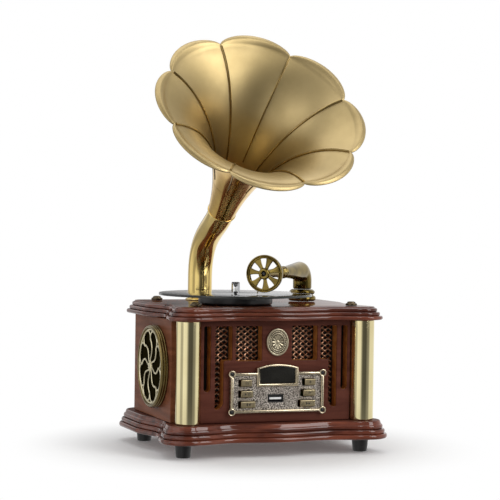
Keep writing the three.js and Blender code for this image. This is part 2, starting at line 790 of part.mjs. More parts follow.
function makeScrews() {
  const names = ['left_low', 'left_high', 'right_low', 'right_high'];
  ringCentres().forEach(([x, z], i) => {
    const head = plateFront() - gap;
    const geometry = turned([
      [0, -screw.length], [screw.shankRadius, -screw.length], [screw.shankRadius, 0],
      [screw.headRadius, 0], [screw.headRadius, screw.headHeight / 2],
      [screw.headRadius / 2, screw.headHeight], [0, screw.headHeight],
    ], screw.steps);
    const place = new THREE.Vector3(x, head, z);
    add(`plate_screw_${names[i]}`, aimed(geometry, new THREE.Vector3(0, -1, 0), place), finish.black);
  });
}

function makeButtons() {
  const face = plateFront() - button.stand;
  const plateBack = body.front - gap;
  for (const place of buttonPlaces()) {
    const half = place.width / 2;
    const tall = button.height / 2;
    const keyBack = boardFront - button.travel - gap;
    const key = box(place.x - half, place.x + half, face, keyBack, place.z - tall, place.z + tall);
    const wide = half + button.flange;
    const high = tall + button.flange;
    const stop = box(
      place.x - wide, place.x + wide, plateBack + gap, plateBack + gap + button.flangeThickness,
      place.z - high, place.z + high,
    );
    add(`button_${place.name}`, joined(key, stop), finish.champagne);
  }
}

function makeUsbSocket() {
  const front = plateFront() - usb.stand;
  const back = boardFront - gap;
  const shell = frontPiece(usbOutline(0), front, back);
  const well = frontPiece(usbOutline(-usb.wall), front - overrun, back - usb.floor);
  const z = panelBottom + usb.z;
  const half = usb.width / 2 - 2 * usb.wall;
  const tongueBottom = z - usb.tongueHeight / 2;
  const tongue = box(
    usb.x - half, usb.x + half, back - usb.floor - usb.tongueDepth, back - usb.floor / 2,
    tongueBottom, tongueBottom + usb.tongueHeight,
  );
  add('usb_socket', joined(cut(shell, well), tongue), finish.steel);
}

function makeMedallion() {
  const z = panelBottom + medallion.z;
  const back = body.front - gap;
  const front = back - medallion.thickness;
  const middle = (front + back) / 2;
  const outline = ellipseShape(0, z, medallion.radiusX, medallion.radiusZ, medallion.steps);
  const disk = frontPiece(outline, middle, back);
  const bossX = medallion.radiusX * medallion.bossShare;
  const bossZ = medallion.radiusZ * medallion.bossShare;
  const boss = frontPiece(ellipseShape(0, z, bossX, bossZ, medallion.steps / 2), front, back - gap);
  add('emblem_medallion', joined(disk, boss), finish.pewter);
}

function makeBoards() {
  const low = panelBottom + plate.z + controlBoard.margin;
  const high = low + plate.height;
  add('control_board', closed(box(
    -controlBoard.halfWidth, controlBoard.halfWidth,
    boardFront, boardFront + controlBoard.thickness, low, high,
  )), finish.board);
  const seat = panelBottom;
  const deck = seat + mainBoard.standoffHeight;
  const halfWidth = mainBoard.width / 2;
  const y0 = mainBoard.y - mainBoard.depth / 2;
  const y1 = mainBoard.y + mainBoard.depth / 2;
  const halfChip = mainBoard.chipWidth / 2;
  const pieces = [
    box(-halfWidth, halfWidth, y0, y1, deck, deck + mainBoard.thickness),
    box(
      -halfChip, halfChip, mainBoard.y - halfChip, mainBoard.y + halfChip,
      deck + mainBoard.thickness / 2, deck + mainBoard.thickness + mainBoard.chipHeight,
    ),
  ];
  for (const x of [mainBoard.inset - halfWidth, halfWidth - mainBoard.inset]) {
    for (const y of [y0 + mainBoard.inset, y1 - mainBoard.inset]) {
      const postTop = deck + mainBoard.thickness / 2;
      const post = cylinder(mainBoard.standoffRadius, seat, postTop, mainBoard.postSteps);
      pieces.push(post.translate(x, y, 0));
    }
  }
  add('main_board', joined(...pieces), finish.board);
}

// Rear power inlet
function jackHeight() {
  return panelBottom + jackPlate.z;
}

function makeRearInlet() {
  const half = jackPlate.width / 2;
  const tall = jackPlate.height / 2;
  const z = jackHeight();
  const back = body.back + gap + jackPlate.thickness;
  const shape = rectangle(-half, half, z - tall, z + tall);
  shape.holes.push(circleShape(0, z, dcSocket.radius + gap, dcSocket.steps));
  add('rear_jack_plate', closed(frontPiece(shape, body.back + gap, back)), finish.black);
  const mouth = back + dcSocket.stand;
  const { radius, bore, pinRadius, depth, floor } = dcSocket;
  const geometry = turned([
    [0, -depth - floor], [radius, -depth - floor], [radius, 0], [bore, 0], [bore, -depth],
    [pinRadius, -depth], [pinRadius, -floor], [0, -floor],
  ], dcSocket.steps);
  add('dc_socket', aimed(geometry, yAxis, new THREE.Vector3(0, mouth, z)), finish.steel);
}

// Turntable: platter with its shaft, glass disc and crystal spindle knob
function atDisc(geometry) {
  return geometry.translate(disc.x, disc.y, 0);
}

function makeTurntable() {
  const shaftEnd = platterBottom - platter.shaftLength;
  const platterTop = platterBottom + platter.height;
  const pinTop = discTop + gap + spindle.pinLength;
  add('turntable_platter', atDisc(turned([
    [0, shaftEnd], [platter.shaftRadius, shaftEnd], [platter.shaftRadius, platterBottom],
    [platter.radius, platterBottom], [platter.radius, platterTop], [spindle.pinRadius, platterTop],
    [spindle.pinRadius, pinTop], [0, pinTop],
  ], platter.steps)), finish.black);

  const hole = spindle.pinRadius + gap;
  add('turntable_disc', atDisc(turnedRing([
    [hole, discBottom], [disc.radius - disc.edge, discBottom], [disc.radius, discBottom + disc.edge],
    [disc.radius, discTop - disc.edge], [disc.radius - disc.edge, discTop], [hole, discTop],
  ], disc.steps)), finish.clear);

  const seat = discTop + gap;
  const top = seat + spindle.height;
  const shoulder = (spindle.radius + spindle.neck) / 2;
  add('spindle_knob', atDisc(turned([
    [0, pinTop + gap], [hole, pinTop + gap], [hole, seat], [spindle.radius, seat],
    [spindle.neck, seat + spindle.neck], [spindle.radius, seat + 2 * spindle.neck],
    [spindle.radius, top - spindle.neck], [shoulder, top], [0, top],
  ], spindle.steps)), finish.clear);

  const motorTop = slabBottom - gap;
  const bore = platter.shaftRadius + gap;
  const boreBottom = Math.min(shaftEnd - gap, motorTop - motor.boreDepth);
  add('turntable_motor', atDisc(turned([
    [0, motorTop - motor.height], [motor.radius, motorTop - motor.height], [motor.radius, motorTop],
    [bore, motorTop], [bore, boreBottom], [0, boreBottom],
  ], motor.steps)), finish.steel);
}

// Horn: stem, seam ring and bell
function makeStemFlange() {
  const bottom = tableTop + gap;
  const top = bottom + flange.height;
  const bore = stem.radius + gap;
  const geometry = turnedRing([
    [bore, bottom], [flange.radius, bottom], [flange.radius, top - flange.edge],
    [flange.radius - flange.edge, top], [bore, top],
  ], flange.steps);
  add('stem_flange', geometry.translate(stem.x, stem.y, 0), finish.brightBrass);
}

// A point on the horn's axis, by its distance back from the plane of the mouth.
function onHornAxis(back) {
  return mouthCentre.clone().addScaledVector(hornAxis, -back);
}

function stemCurve() {
  const start = new THREE.Vector3(stem.x, stem.y, tableTop + gap + stem.straight);
  const end = onHornAxis(horn.length + gap);
  return new THREE.CubicBezierCurve3(
    start,
    start.clone().addScaledVector(zAxis, stem.leaveLength),
    end.clone().addScaledVector(hornAxis, -stem.meetLength),
    end,
  );
}

function stemRings(thinner) {
  const curve = stemCurve();
  const footCentre = new THREE.Vector3(stem.x, stem.y, tableTop + gap);
  const rings = [circleRing(footCentre, xAxis, yAxis, stem.radius - thinner, stem.steps)];
  for (let i = 0; i <= stem.bendSteps; i++) {
    const share = i / stem.bendSteps;
    const tangent = curve.getTangent(share);
    const upward = new THREE.Vector3().crossVectors(tangent, xAxis);
    const radius = stem.radius + (stem.endRadius - stem.radius) * share - thinner;
    rings.push(circleRing(curve.getPoint(share), xAxis, upward, radius, stem.steps));
  }
  return rings;
}

function makeStem() {
  const rings = [...stemRings(0), ...stemRings(stem.wall).reverse()];
  add('horn_stem', skin(rings, true), finish.brightBrass);
}

function makeHornRing() {
  const bore = stem.endRadius + horn.wall;
  const { radius, width, edge } = hornRing;
  const geometry = turnedRing([
    [bore, 0], [radius - edge, 0], [radius, edge],
    [radius, width - edge], [radius - edge, width], [bore, width],
  ], hornRing.steps);
  add('horn_ring', aimed(geometry, hornAxis, onHornAxis(horn.length + width / 2)), finish.brightBrass);
}

// The flare as a curve of [distance back, radius] from the throat to the mouth.
const flare = new THREE.CubicBezierCurve(
  new THREE.Vector2(horn.length, horn.throatRadius),
  new THREE.Vector2(horn.length - hornCurve.throatLength, horn.throatRadius + hornCurve.throatFlare),
  new THREE.Vector2(hornCurve.mouthLength, hornCurve.mouthRadius),
  new THREE.Vector2(0, horn.mouthRadius),
);

// Levels on one stretch of the flare, each with the direction in which the wall gets thick.
function flareLevels(from, to, steps) {
  const levels = [];
  for (let i = 0; i <= steps; i++) {
    const share = from + ((to - from) * i) / steps;
    const point = flare.getPoint(share);
    const tangent = flare.getTangent(share);
    levels.push({ back: point.x, radius: point.y, behind: new THREE.Vector2(tangent.y, -tangent.x) });
  }
  return levels;
}

// 0 at a seam between petals, 1 in the middle of a petal.
function petalShare(turn) {
  const first = Math.PI / 2 + THREE.MathUtils.degToRad(horn.turn);
  return Math.sqrt(Math.abs(Math.sin((horn.petals / 2) * (turn - first))));
}

// A ring round the horn's axis, with its distance back and radius given by the petal share.
function lobedRing(backOf, radiusOf) {
  const ring = [];
  const count = horn.petals * horn.steps;
  const first = Math.PI / 2 + THREE.MathUtils.degToRad(horn.turn);
  for (let i = 0; i < count; i++) {
    const turn = first + (2 * Math.PI * i) / count;
    const share = petalShare(turn);
    ring.push(onHornAxis(backOf(share))
      .addScaledVector(xAxis, radiusOf(share) * Math.cos(turn))
      .addScaledVector(hornUp, radiusOf(share) * Math.sin(turn)));
  }
  return ring;
}

function flareRings(levels, behind) {
  return levels.map((level) => {
    const swell = horn.swell * ((level.radius - horn.throatRadius) / (horn.mouthRadius - horn.throatRadius));
    return lobedRing(
      () => level.back + behind * level.behind.x,
      (share) => level.radius + behind * level.behind.y + swell * share,
    );
  });
}

// The petals' lips turn out from the mouth.
function lipRings(behind) {
  const rings = [];
  for (let i = 1; i <= horn.lipSteps; i++) {
    const out = i / horn.lipSteps;
    const rise = Math.sin((out * Math.PI) / 2) * horn.lipRise;
    rings.push(lobedRing(
      (share) => behind - rise * share,
      (share) => horn.mouthRadius + (horn.swell + horn.lip * out) * share,
    ));
  }
  return rings;
}

function makeHornNeck() {
  const levels = flareLevels(0, horn.neckShare, horn.neckSteps);
  const rings = [...flareRings(levels, 0), ...flareRings(levels, horn.wall).reverse()];
  add('horn_neck', skin(rings, true), finish.brightBrass);
}

function makeBell() {
  const seam = gap / flare.getLength();
  const levels = flareLevels(horn.neckShare + seam, 1, horn.bellSteps);
  const inside = [...flareRings(levels, 0), ...lipRings(0)];
  const outside = [...flareRings(levels, horn.wall), ...lipRings(horn.wall)];
  add('horn_bell', skin([...inside, ...outside.reverse()], true), finish.hornBrass);
}

// Tone arm: base, bent arm, collar, spoked wheel with its screw, and the needle
function makeArmBase() {
  const bottom = tableTop + gap;
  const top = bottom + armBase.height;
  const { footRadius, footHeight, waistRadius, collarRadius } = armBase;
  const lower = footHeight / 4;
  const collarBottom = bottom + footHeight + lower;
  const collarMiddle = (collarBottom + top) / 2;
  const geometry = turned([
    [0, bottom], [footRadius - lower, bottom], [footRadius, bottom + lower],
    [footRadius, bottom + footHeight - lower], [waistRadius, bottom + footHeight],
    [waistRadius, collarBottom], [collarRadius, collarMiddle - lower / 2],
    [collarRadius, collarMiddle + lower / 2], [waistRadius, top], [0, top],
  ], armBase.steps);
  add('arm_base', geometry.translate(arm.x, arm.y, 0), finish.darkBrass);
}

function onArmAxis(distance) {
  return new THREE.Vector3(arm.x, arm.y, armHeight).addScaledVector(armAxis, distance);
}

function makeToneArm() {
  const bottom = tableTop + armBase.height + 2 * gap;
  const columnFoot = new THREE.Vector3(arm.x, arm.y, bottom);
  const rings = [circleRing(columnFoot, armSide, armAxis, arm.columnRadius, arm.steps)];
  const bendCentre = onArmAxis(arm.bendRadius);
  bendCentre.z -= arm.bendRadius;
  for (let i = 0; i <= arm.bendSteps; i++) {
    const turn = (Math.PI / 2) * (i / arm.bendSteps);
    const outward = armAxis.clone().multiplyScalar(-Math.cos(turn)).addScaledVector(zAxis, Math.sin(turn));
    const centre = bendCentre.clone().addScaledVector(outward, arm.bendRadius);
    rings.push(circleRing(centre, armSide, outward.clone().negate(), arm.columnRadius, arm.steps));
  }
  const down = zAxis.clone().negate();
  rings.push(circleRing(onArmAxis(arm.taperLength), armSide, down, arm.neckRadius, arm.steps));
  add('tone_arm', skin(rings, false), finish.darkBrass);
}

function makeArmCollar() {
  const { radius, length, grooveDepth } = armCollar;
  const band = length / 5;
  const waist = radius - grooveDepth;
  const neckEnd = arm.length - arm.taperLength - 2 * gap - wheel.hubLength / 2;
  const geometry = turned([
    [0, 0], [radius, 0], [radius, band], [waist, 2 * band], [radius, 3 * band], [radius, 4 * band],
    [waist, length], [armNeck.rootRadius, length], [armNeck.radius, neckEnd], [0, neckEnd],
  ], armCollar.steps);
  add('arm_collar', aimed(geometry, armAxis, onArmAxis(arm.taperLength + gap)), finish.darkBrass);
}

// A wheel drawn flat about +Z: a round rim, flared spokes and a hub with a bore for its screw.
function wheelGeometry() {
  const rimCentre = wheel.radius - wheel.rim / 2;
  const rim = new THREE.TorusGeometry(rimCentre, wheel.rim / 2, wheel.rimSides, wheel.rimSteps);
  const half = wheel.hubLength / 2;
  const hub = turned([
    [0, -half], [wheel.hubRadius, -half], [wheel.hubRadius, half], [wheel.screwBore, half],
    [wheel.screwBore, half - wheel.boreDepth], [0, half - wheel.boreDepth],
  ], wheel.hubSteps);
  const spokeStart = (wheel.hubRadius + wheel.screwBore) / 2;
  const spokes = [];
  for (let i = 0; i < wheel.spokes; i++) {
    const shape = polygon([
      [spokeStart, -wheel.spokeRoot], [rimCentre, -wheel.spokeTip], [rimCentre, wheel.spokeTip],
      [spokeStart, wheel.spokeRoot],
    ]);
    const spoke = extruded(shape, wheel.spokeThickness);
    spoke.translate(0, 0, -wheel.spokeThickness / 2);
    spoke.rotateZ(THREE.MathUtils.degToRad(wheel.firstSpoke + (360 / wheel.spokes) * i));
    spokes.push(spoke);
  }
  return joined(rim, hub, ...spokes);
}

// Turns a piece drawn about +Z so that it faces along the arm, with +Y turned up.
function alongArm(geometry, distance) {
  geometry.applyMatrix4(new THREE.Matrix4().makeBasis(armSide, zAxis, armAxis));
  const place = onArmAxis(distance);
  return geometry.translate(place.x, place.y, place.z);
}

function makeSoundWheel() {
  add('sound_wheel', alongArm(wheelGeometry(), arm.length), finish.darkBrass);
  const seat = wheel.hubLength / 2 - wheel.boreDepth + gap;
  const geometry = cylinder(hubScrew.radius, seat, seat + hubScrew.length, hubScrew.steps);
  add('hub_screw', alongArm(geometry, arm.length), finish.black);
}

// The needle hangs from the rim, a little to one side of the wheel's lowest point.
function makeStylus() {
  const turn = THREE.MathUtils.degToRad(stylus.angle);
  const place = onArmAxis(arm.length).addScaledVector(armSide, -(wheel.radius + gap) * Math.sin(turn));
  const top = armHeight - (wheel.radius + gap) * Math.cos(turn);
  const bottom = discTop + gap;
  const geometry = turned([
    [0, bottom], [stylus.radius / 2, bottom], [stylus.radius, (bottom + top) / 2],
    [stylus.radius, top], [0, top],
  ], stylus.steps);
  add('stylus', geometry.translate(place.x, place.y, 0), finish.needle);
}

makeBase();
makeFeet();
makeFrontPanel();
makeSidePanel(-1, 'left_side_panel');
makeSidePanel(1, 'right_side_panel');
makeBackPanel();
makePillar(-1, 'left_pillar');
makePillar(1, 'right_pillar');
makeNet(-1, 'left_front_net');
makeNet(1, 'right_front_net');
makeSideFittings(-1, 'left');
makeSideFittings(1, 'right');
makeControlPlate();
makePlateFrame();
makeDisplayWindow();
makeScrews();
makeButtons();
makeUsbSocket();
makeMedallion();
makeBoards();
makeRearInlet();
makeTopSlab();
makeTableCaps();
makeTurntable();
makeStemFlange();
makeStem();
makeHornRing();
makeHornNeck();
makeBell();
makeArmBase();
makeToneArm();
makeArmCollar();
makeSoundWheel();
makeStylus();

const bounds = new THREE.Box3().setFromObject(group, true);
group.position.set(-(bounds.min.x + bounds.max.x) / 2, -(bounds.min.y + bounds.max.y) / 2, -bounds.min.z);
group.updateMatrixWorld(true);

export default group;
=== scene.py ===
import json
import math

import bmesh
import bpy
from mathutils import Matrix, Vector
from mathutils.geometry import tessellate_polygon


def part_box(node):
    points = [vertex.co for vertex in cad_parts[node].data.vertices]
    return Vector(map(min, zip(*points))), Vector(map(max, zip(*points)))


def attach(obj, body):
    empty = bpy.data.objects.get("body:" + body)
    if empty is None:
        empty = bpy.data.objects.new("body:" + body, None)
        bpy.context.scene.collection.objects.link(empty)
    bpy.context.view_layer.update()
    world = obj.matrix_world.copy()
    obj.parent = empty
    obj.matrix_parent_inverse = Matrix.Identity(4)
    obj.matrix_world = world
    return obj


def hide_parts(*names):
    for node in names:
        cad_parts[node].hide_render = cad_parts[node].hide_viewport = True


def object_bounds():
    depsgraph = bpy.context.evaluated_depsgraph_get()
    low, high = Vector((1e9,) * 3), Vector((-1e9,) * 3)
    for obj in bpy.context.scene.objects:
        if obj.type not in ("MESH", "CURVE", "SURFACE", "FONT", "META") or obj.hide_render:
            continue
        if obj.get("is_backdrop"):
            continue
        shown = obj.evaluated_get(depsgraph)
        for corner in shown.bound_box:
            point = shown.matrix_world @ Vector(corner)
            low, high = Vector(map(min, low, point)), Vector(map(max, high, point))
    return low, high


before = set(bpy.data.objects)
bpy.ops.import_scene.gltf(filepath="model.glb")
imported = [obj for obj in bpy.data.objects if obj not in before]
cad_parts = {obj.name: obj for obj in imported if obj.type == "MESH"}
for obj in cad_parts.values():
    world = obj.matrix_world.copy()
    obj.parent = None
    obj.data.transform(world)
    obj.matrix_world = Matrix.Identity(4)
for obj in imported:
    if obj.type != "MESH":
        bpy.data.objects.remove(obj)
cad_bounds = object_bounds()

# A small horn gramophone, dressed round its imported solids. Shapes are worked out in millimetres from the
# cabinet's centre line and the ground, and become metres in the solids' frame when a piece is made.
# +X is right as seen from the front, -Y is the front, +Z is up.

MM = 0.001
GAP = 0.3
UP = Vector((0, 0, 1))
FORWARD = Vector((0, -1, 0))
BACKWARD = Vector((0, 1, 0))
FRONT_TO_CENTRE = 62.4
SIDES = {"left": -1, "right": 1}

base_low, base_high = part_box("base_moulding")
CENTRE_X = (base_low[0] + base_high[0]) / 2
CENTRE_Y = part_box("front_panel")[0][1] + FRONT_TO_CENTRE * MM


def at(x, y, z):
    """A place in metres, from millimetres in the cabinet."""
    return Vector((CENTRE_X + x * MM, CENTRE_Y + y * MM, z * MM))


def in_cabinet(x, y, z):
    """A place in the cabinet's millimetres, from one in metres."""
    return Vector(((x - CENTRE_X) / MM, (y - CENTRE_Y) / MM, z / MM))


def rectangle(x0, x1, y0, y1):
    return [(x0, y0), (x1, y0), (x1, y1), (x0, y1)]


class Box:
    """A node's box in the cabinet's millimetres."""

    def __init__(self, node):
        self.low, self.high = [in_cabinet(*corner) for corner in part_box(node)]
        self.middle = (self.low + self.high) / 2
        self.size = self.high - self.low
        self.radius = self.size.x / 2
        self.foot = Vector((self.middle.x, self.middle.y, self.low.z))

    def outline(self, grow=0):
        """The box as it is seen from the front, grown on every side."""
        return rectangle(self.low.x - grow, self.high.x + grow, self.low.z - grow, self.high.z + grow)


PANEL = Box("front_panel")
TABLE = Box("top_slab").high.z


def in_scene(name, data):
    made = bpy.data.objects.new(name, data)
    bpy.context.scene.collection.objects.link(made)
    return made


def direction_to(azimuth, elevation):
    """The way from the object to a place, with the azimuth in degrees to the right of its front."""
    turn = math.radians(azimuth)
    rise = math.radians(elevation)
    return Vector((math.sin(turn) * math.cos(rise), -math.cos(turn) * math.cos(rise), math.sin(rise)))


# Camera at the photograph's viewing angle
CAMERA_AZIMUTH = -20.61
CAMERA_ELEVATION = 1.02
CAMERA_ROLL = 0.83
CAMERA_DISTANCE = 1505.2
CAMERA_TARGET = (-3.05, 0, 177.56)
SENSOR_WIDTH = 36
LENS = 119.69
CLIP_RANGE = (0.05, 40)


def make_camera():
    roll = math.radians(CAMERA_ROLL)
    back = direction_to(CAMERA_AZIMUTH, CAMERA_ELEVATION)
    right = (-back).cross(UP).normalized()
    up = right.cross(-back)
    rolled_right = right * math.cos(roll) + up * math.sin(roll)
    rolled_up = up * math.cos(roll) - right * math.sin(roll)
    data = bpy.data.cameras.new("camera")
    data.lens = LENS
    data.sensor_width = SENSOR_WIDTH
    data.clip_start, data.clip_end = CLIP_RANGE
    camera = in_scene("camera", data)
    axes = Matrix((rolled_right, rolled_up, back)).transposed().to_4x4()
    camera.matrix_world = Matrix.Translation(at(*CAMERA_TARGET) + back * CAMERA_DISTANCE * MM) @ axes
    bpy.context.scene.camera = camera


class Nodes:
    """Short calls for the nodes of one tree."""

    def __init__(self, tree):
        self.tree = tree

    def link(self, start, end):
        self.tree.links.new(start, end)

    def add(self, kind, values=None, **settings):
        node = self.tree.nodes.new("ShaderNode" + kind)
        for name, value in settings.items():
            setattr(node, name, value)
        for name, value in (values or {}).items():
            if isinstance(value, bpy.types.NodeSocket):
                self.link(value, node.inputs[name])
            else:
                node.inputs[name].default_value = value
        return node

    def place(self):
        return self.add("TexCoord").outputs["Object"]

    def noise(self, vector, scale, detail=4, roughness=0.55):
        values = {"Vector": vector, "Scale": scale, "Detail": detail, "Roughness": roughness}
        return self.add("TexNoise", values).outputs["Fac"]

    def ramp(self, value, start, end):
        """0 where a value is at the start level and 1 at the end level, with a smooth rise between them."""
        values = {"Value": value, "From Min": start, "From Max": end}
        return self.add("MapRange", values, interpolation_type="SMOOTHSTEP").outputs["Result"]

    def spread(self, value, low, high):
        """A value from 0 to 1 spread between two others."""
        return self.add("MapRange", {"Value": value, "To Min": low, "To Max": high}).outputs["Result"]

    def math(self, operation, a, b=0.5):
        return self.add("Math", {0: a, 1: b}, operation=operation).outputs[0]

    def vectors(self, operation, a, b):
        return self.add("VectorMath", {0: a, 1: b}, operation=operation).outputs

    def mix(self, factor, a, b):
        """Colour a where the factor is 0 and colour b where it is 1."""
        return self.add("Mix", {0: factor, 6: a, 7: b}, data_type="RGBA").outputs[2]

    def bump(self, height, strength, distance):
        values = {"Height": height, "Strength": strength, "Distance": distance * MM}
        return self.add("Bump", values).outputs["Normal"]


# Node groups: effects that several finishes share
WHITE = (1, 1, 1, 1)
BLACK = (0, 0, 0, 1)
GRAIN_ALONG_X = (9, 60, 95)
GRAIN_ALONG_Y = (60, 9, 95)
SURFACE = {"Color": "NodeSocketColor", "Roughness": "NodeSocketFloat", "Normal": "NodeSocketVector"}


def surface_group(name, inputs, draw):
    """A group with named inputs that puts out a colour, a roughness and a normal."""
    group = bpy.data.node_groups.new(name, "ShaderNodeTree")
    for label, default in inputs.items():
        kinds = {3: "NodeSocketVector", 4: "NodeSocketColor"}
        kind = kinds[len(default)] if isinstance(default, tuple) else "NodeSocketFloat"
        group.interface.new_socket(label, in_out="INPUT", socket_type=kind).default_value = default
    for label, kind in SURFACE.items():
        group.interface.new_socket(label, in_out="OUTPUT", socket_type=kind)
    nodes = Nodes(group)
    source = group.nodes.new("NodeGroupInput").outputs
    sink = group.nodes.new("NodeGroupOutput").inputs
    for label, value in zip(SURFACE, draw(nodes, source, nodes.place())):
        nodes.link(value, sink[label])
    return group


def draw_aged_metal(nodes, source, place):
    """Metal with soft cloudy tarnish, fine rubbing marks, and a darkening in hollow places that is partly
    patina and partly painted shade.
    """
    cloud = nodes.ramp(nodes.noise(place, source["Cloud Scale"], 5), 0.32, 0.72)
    speck = nodes.ramp(nodes.noise(place, 900, 3), 0.45, 0.75)
    wear = nodes.math("MULTIPLY", cloud, source["Tarnish"])
    # Darker where the surface curves inwards: partly patina, partly painted shade in creases and hollow
    # places.
    curve = nodes.add("NewGeometry").outputs["Pointiness"]
    hollow = nodes.math("MULTIPLY", nodes.ramp(curve, 0.52, 0.44), source["Hollow Shade And Patina"])
    colour = nodes.mix(nodes.math("MAXIMUM", wear, hollow), source["Bright"], source["Tarnished"])
    mottle = nodes.math("ADD", nodes.math("MULTIPLY", cloud, 0.7), nodes.math("MULTIPLY", speck, 0.3))
    rough = nodes.spread(mottle, source["Smoothest"], source["Roughest"])
    return colour, rough, nodes.bump(nodes.noise(place, 2600, 2), source["Grain"], 0.02)


def draw_lacquered_wood(nodes, source, place):
    """Mahogany under lacquer: long grain, fine pores and a slightly uneven coat."""
    along = nodes.add("Mapping", {"Vector": place, "Scale": source["Grain"]}).outputs["Vector"]
    wave = nodes.noise(along, 1.6, 6, 0.6)
    pored = nodes.math("MULTIPLY", nodes.ramp(nodes.noise(along, 15, 3), 0.6, 0.75), 0.35)
    grain = nodes.math("ADD", nodes.ramp(wave, 0.3, 0.7), pored)
    colour = nodes.mix(nodes.math("MINIMUM", grain, 1), source["Light"], source["Dark"])
    smear = nodes.ramp(nodes.noise(place, 45, 4), 0.35, 0.7)
    rough = nodes.spread(smear, source["Smoothest"], source["Roughest"])
    return colour, rough, nodes.bump(nodes.noise(place, 260, 2), source["Unevenness"], 0.05)


def draw_fine_grain(nodes, source, place):
    """Moulded or cut surfaces: small changes of colour and gloss over a fine grain."""
    patch = nodes.ramp(nodes.noise(place, 90, 4), 0.35, 0.7)
    rough = nodes.spread(patch, source["Smoothest"], source["Roughest"])
    grain = nodes.noise(place, source["Grain Scale"], 2)
    return nodes.mix(patch, source["Body"], source["Shade"]), rough, nodes.bump(grain, source["Grain"], 0.04)


AGED_METAL = surface_group("aged_metal", {
    "Bright": WHITE, "Tarnished": BLACK, "Cloud Scale": 30, "Tarnish": 0.5, "Smoothest": 0.2,
    "Roughest": 0.4, "Hollow Shade And Patina": 0, "Grain": 0.1}, draw_aged_metal)
LACQUERED_WOOD = surface_group("lacquered_wood", {
    "Light": WHITE, "Dark": BLACK, "Smoothest": 0.1, "Roughest": 0.2, "Unevenness": 0.1,
    "Grain": GRAIN_ALONG_X}, draw_lacquered_wood)
FINE_GRAIN = surface_group("fine_grain", {
    "Body": WHITE, "Shade": BLACK, "Grain Scale": 1500, "Smoothest": 0.3, "Roughest": 0.5,
    "Grain": 0.2}, draw_fine_grain)

# Finishes, each listed with the slot of the record's material that it shows
FINISH = {}


def new_finish(name, slot, draw, **plain):
    """A material whose colour, roughness and normal come from nodes, and the rest from plain values."""
    material = bpy.data.materials.new(name)
    material.use_nodes = True
    nodes = Nodes(material.node_tree)
    shader = material.node_tree.nodes["Principled BSDF"]
    for label, value in zip(("Base Color", "Roughness", "Normal"), draw(nodes)):
        nodes.link(value, shader.inputs[label])
    for label, value in plain.items():
        shader.inputs[label.replace("_", " ")].default_value = value
    FINISH[name] = material
    return material, nodes, shader


def grouped(name, slot, group, values, **plain):
    """A finish that takes its surface from a group, with values for the group's inputs in order."""
    def draw(nodes):
        surface = nodes.add("Group", node_tree=group)
        for socket, value in zip(surface.inputs, values):
            is_colour = socket.type == "RGBA"
            socket.default_value = (*value, 1) if is_colour else value
        return [surface.outputs[label] for label in SURFACE]
    new_finish(name, slot, draw, **plain)


# The darkening of hollow places is partly patina and partly painted shade.
def metal(name, slot, bright, tarnished, cloud, tarnish, gloss, hollow_shade_and_patina=0.0, grain=0.05, coat=0.0):
    grouped(name, slot, AGED_METAL, (bright, tarnished, cloud, tarnish, *gloss, hollow_shade_and_patina, grain),
            Metallic=1.0, Coat_Weight=coat, Coat_Roughness=0.3)


def wood(name, slot, light, dark, gloss, uneven, coat, specular, grain=GRAIN_ALONG_X):
    grouped(name, slot, LACQUERED_WOOD, (light, dark, *gloss, uneven, grain),
            Coat_Weight=coat, Coat_Roughness=0.04, Specular_IOR_Level=specular)


def grained(name, slot, body, shade, smooth, rough, grain=0.2, scale=1500.0, metallic=0.0):
    grouped(name, slot, FINE_GRAIN, (body, shade, scale, smooth, rough, grain), Metallic=metallic)


def clear_glass(name, slot, colour, roughness):
    """Clear polished glass with faint dust marks."""
    def draw(nodes):
        marks = nodes.ramp(nodes.noise(nodes.place(), 55, 5), 0.55, 0.8)
        dusty = (*[level * 0.97 for level in colour], 1)
        return nodes.mix(marks, (*colour, 1), dusty), nodes.spread(marks, roughness, roughness + 0.05)
    new_finish(name, slot, draw, Transmission_Weight=1.0, IOR=1.5)


def draw_hammered_pewter(nodes):
    """The plate's ground: small hammered pits with dark patina between them."""
    place = nodes.place()
    wobble = nodes.add("TexNoise", {"Vector": place, "Scale": 700.0}).outputs["Color"]
    shifted = nodes.add("VectorMath", {0: wobble, "Scale": 0.6 * MM}, operation="SCALE").outputs[0]
    moved = nodes.vectors("ADD", place, shifted)[0]
    pits = nodes.add("TexVoronoi", {"Vector": moved, "Scale": 1050.0}).outputs["Distance"]
    ridge = nodes.ramp(pits, 0.2, 0.75)
    cloud = nodes.ramp(nodes.noise(place, 160, 3), 0.3, 0.7)
    bright = nodes.mix(cloud, (0.78, 0.71, 0.62, 1), (0.52, 0.46, 0.4, 1))
    colour = nodes.mix(ridge, bright, (0.09, 0.075, 0.065, 1))
    return colour, nodes.spread(ridge, 0.3, 0.6), nodes.bump(nodes.math("SUBTRACT", 1.0, ridge), 0.8, 0.25)


def draw_woven_cloth(nodes):
    """The olive cloth behind the rosettes, a plain weave of fine threads with painted shade in the gaps
    between them.
    """
    place = nodes.place()
    threads = [
        nodes.add("TexWave", {"Vector": place, "Scale": 420.0, "Distortion": 0.6}, wave_type="BANDS",
                  bands_direction=way).outputs["Fac"] for way in ("Y", "Z")]
    weave = nodes.math("MULTIPLY", *threads)
    patch = nodes.ramp(nodes.noise(place, 60, 3), 0.3, 0.7)
    lit = nodes.mix(patch, (0.022, 0.018, 0.006, 1), (0.034, 0.028, 0.01, 1))
    # The gaps between the threads are near black: painted shade.
    colour = nodes.mix(weave, (0.006, 0.004, 0.001, 1), lit)
    return colour, nodes.spread(weave, 0.95, 0.75), nodes.bump(weave, 0.6, 0.1)


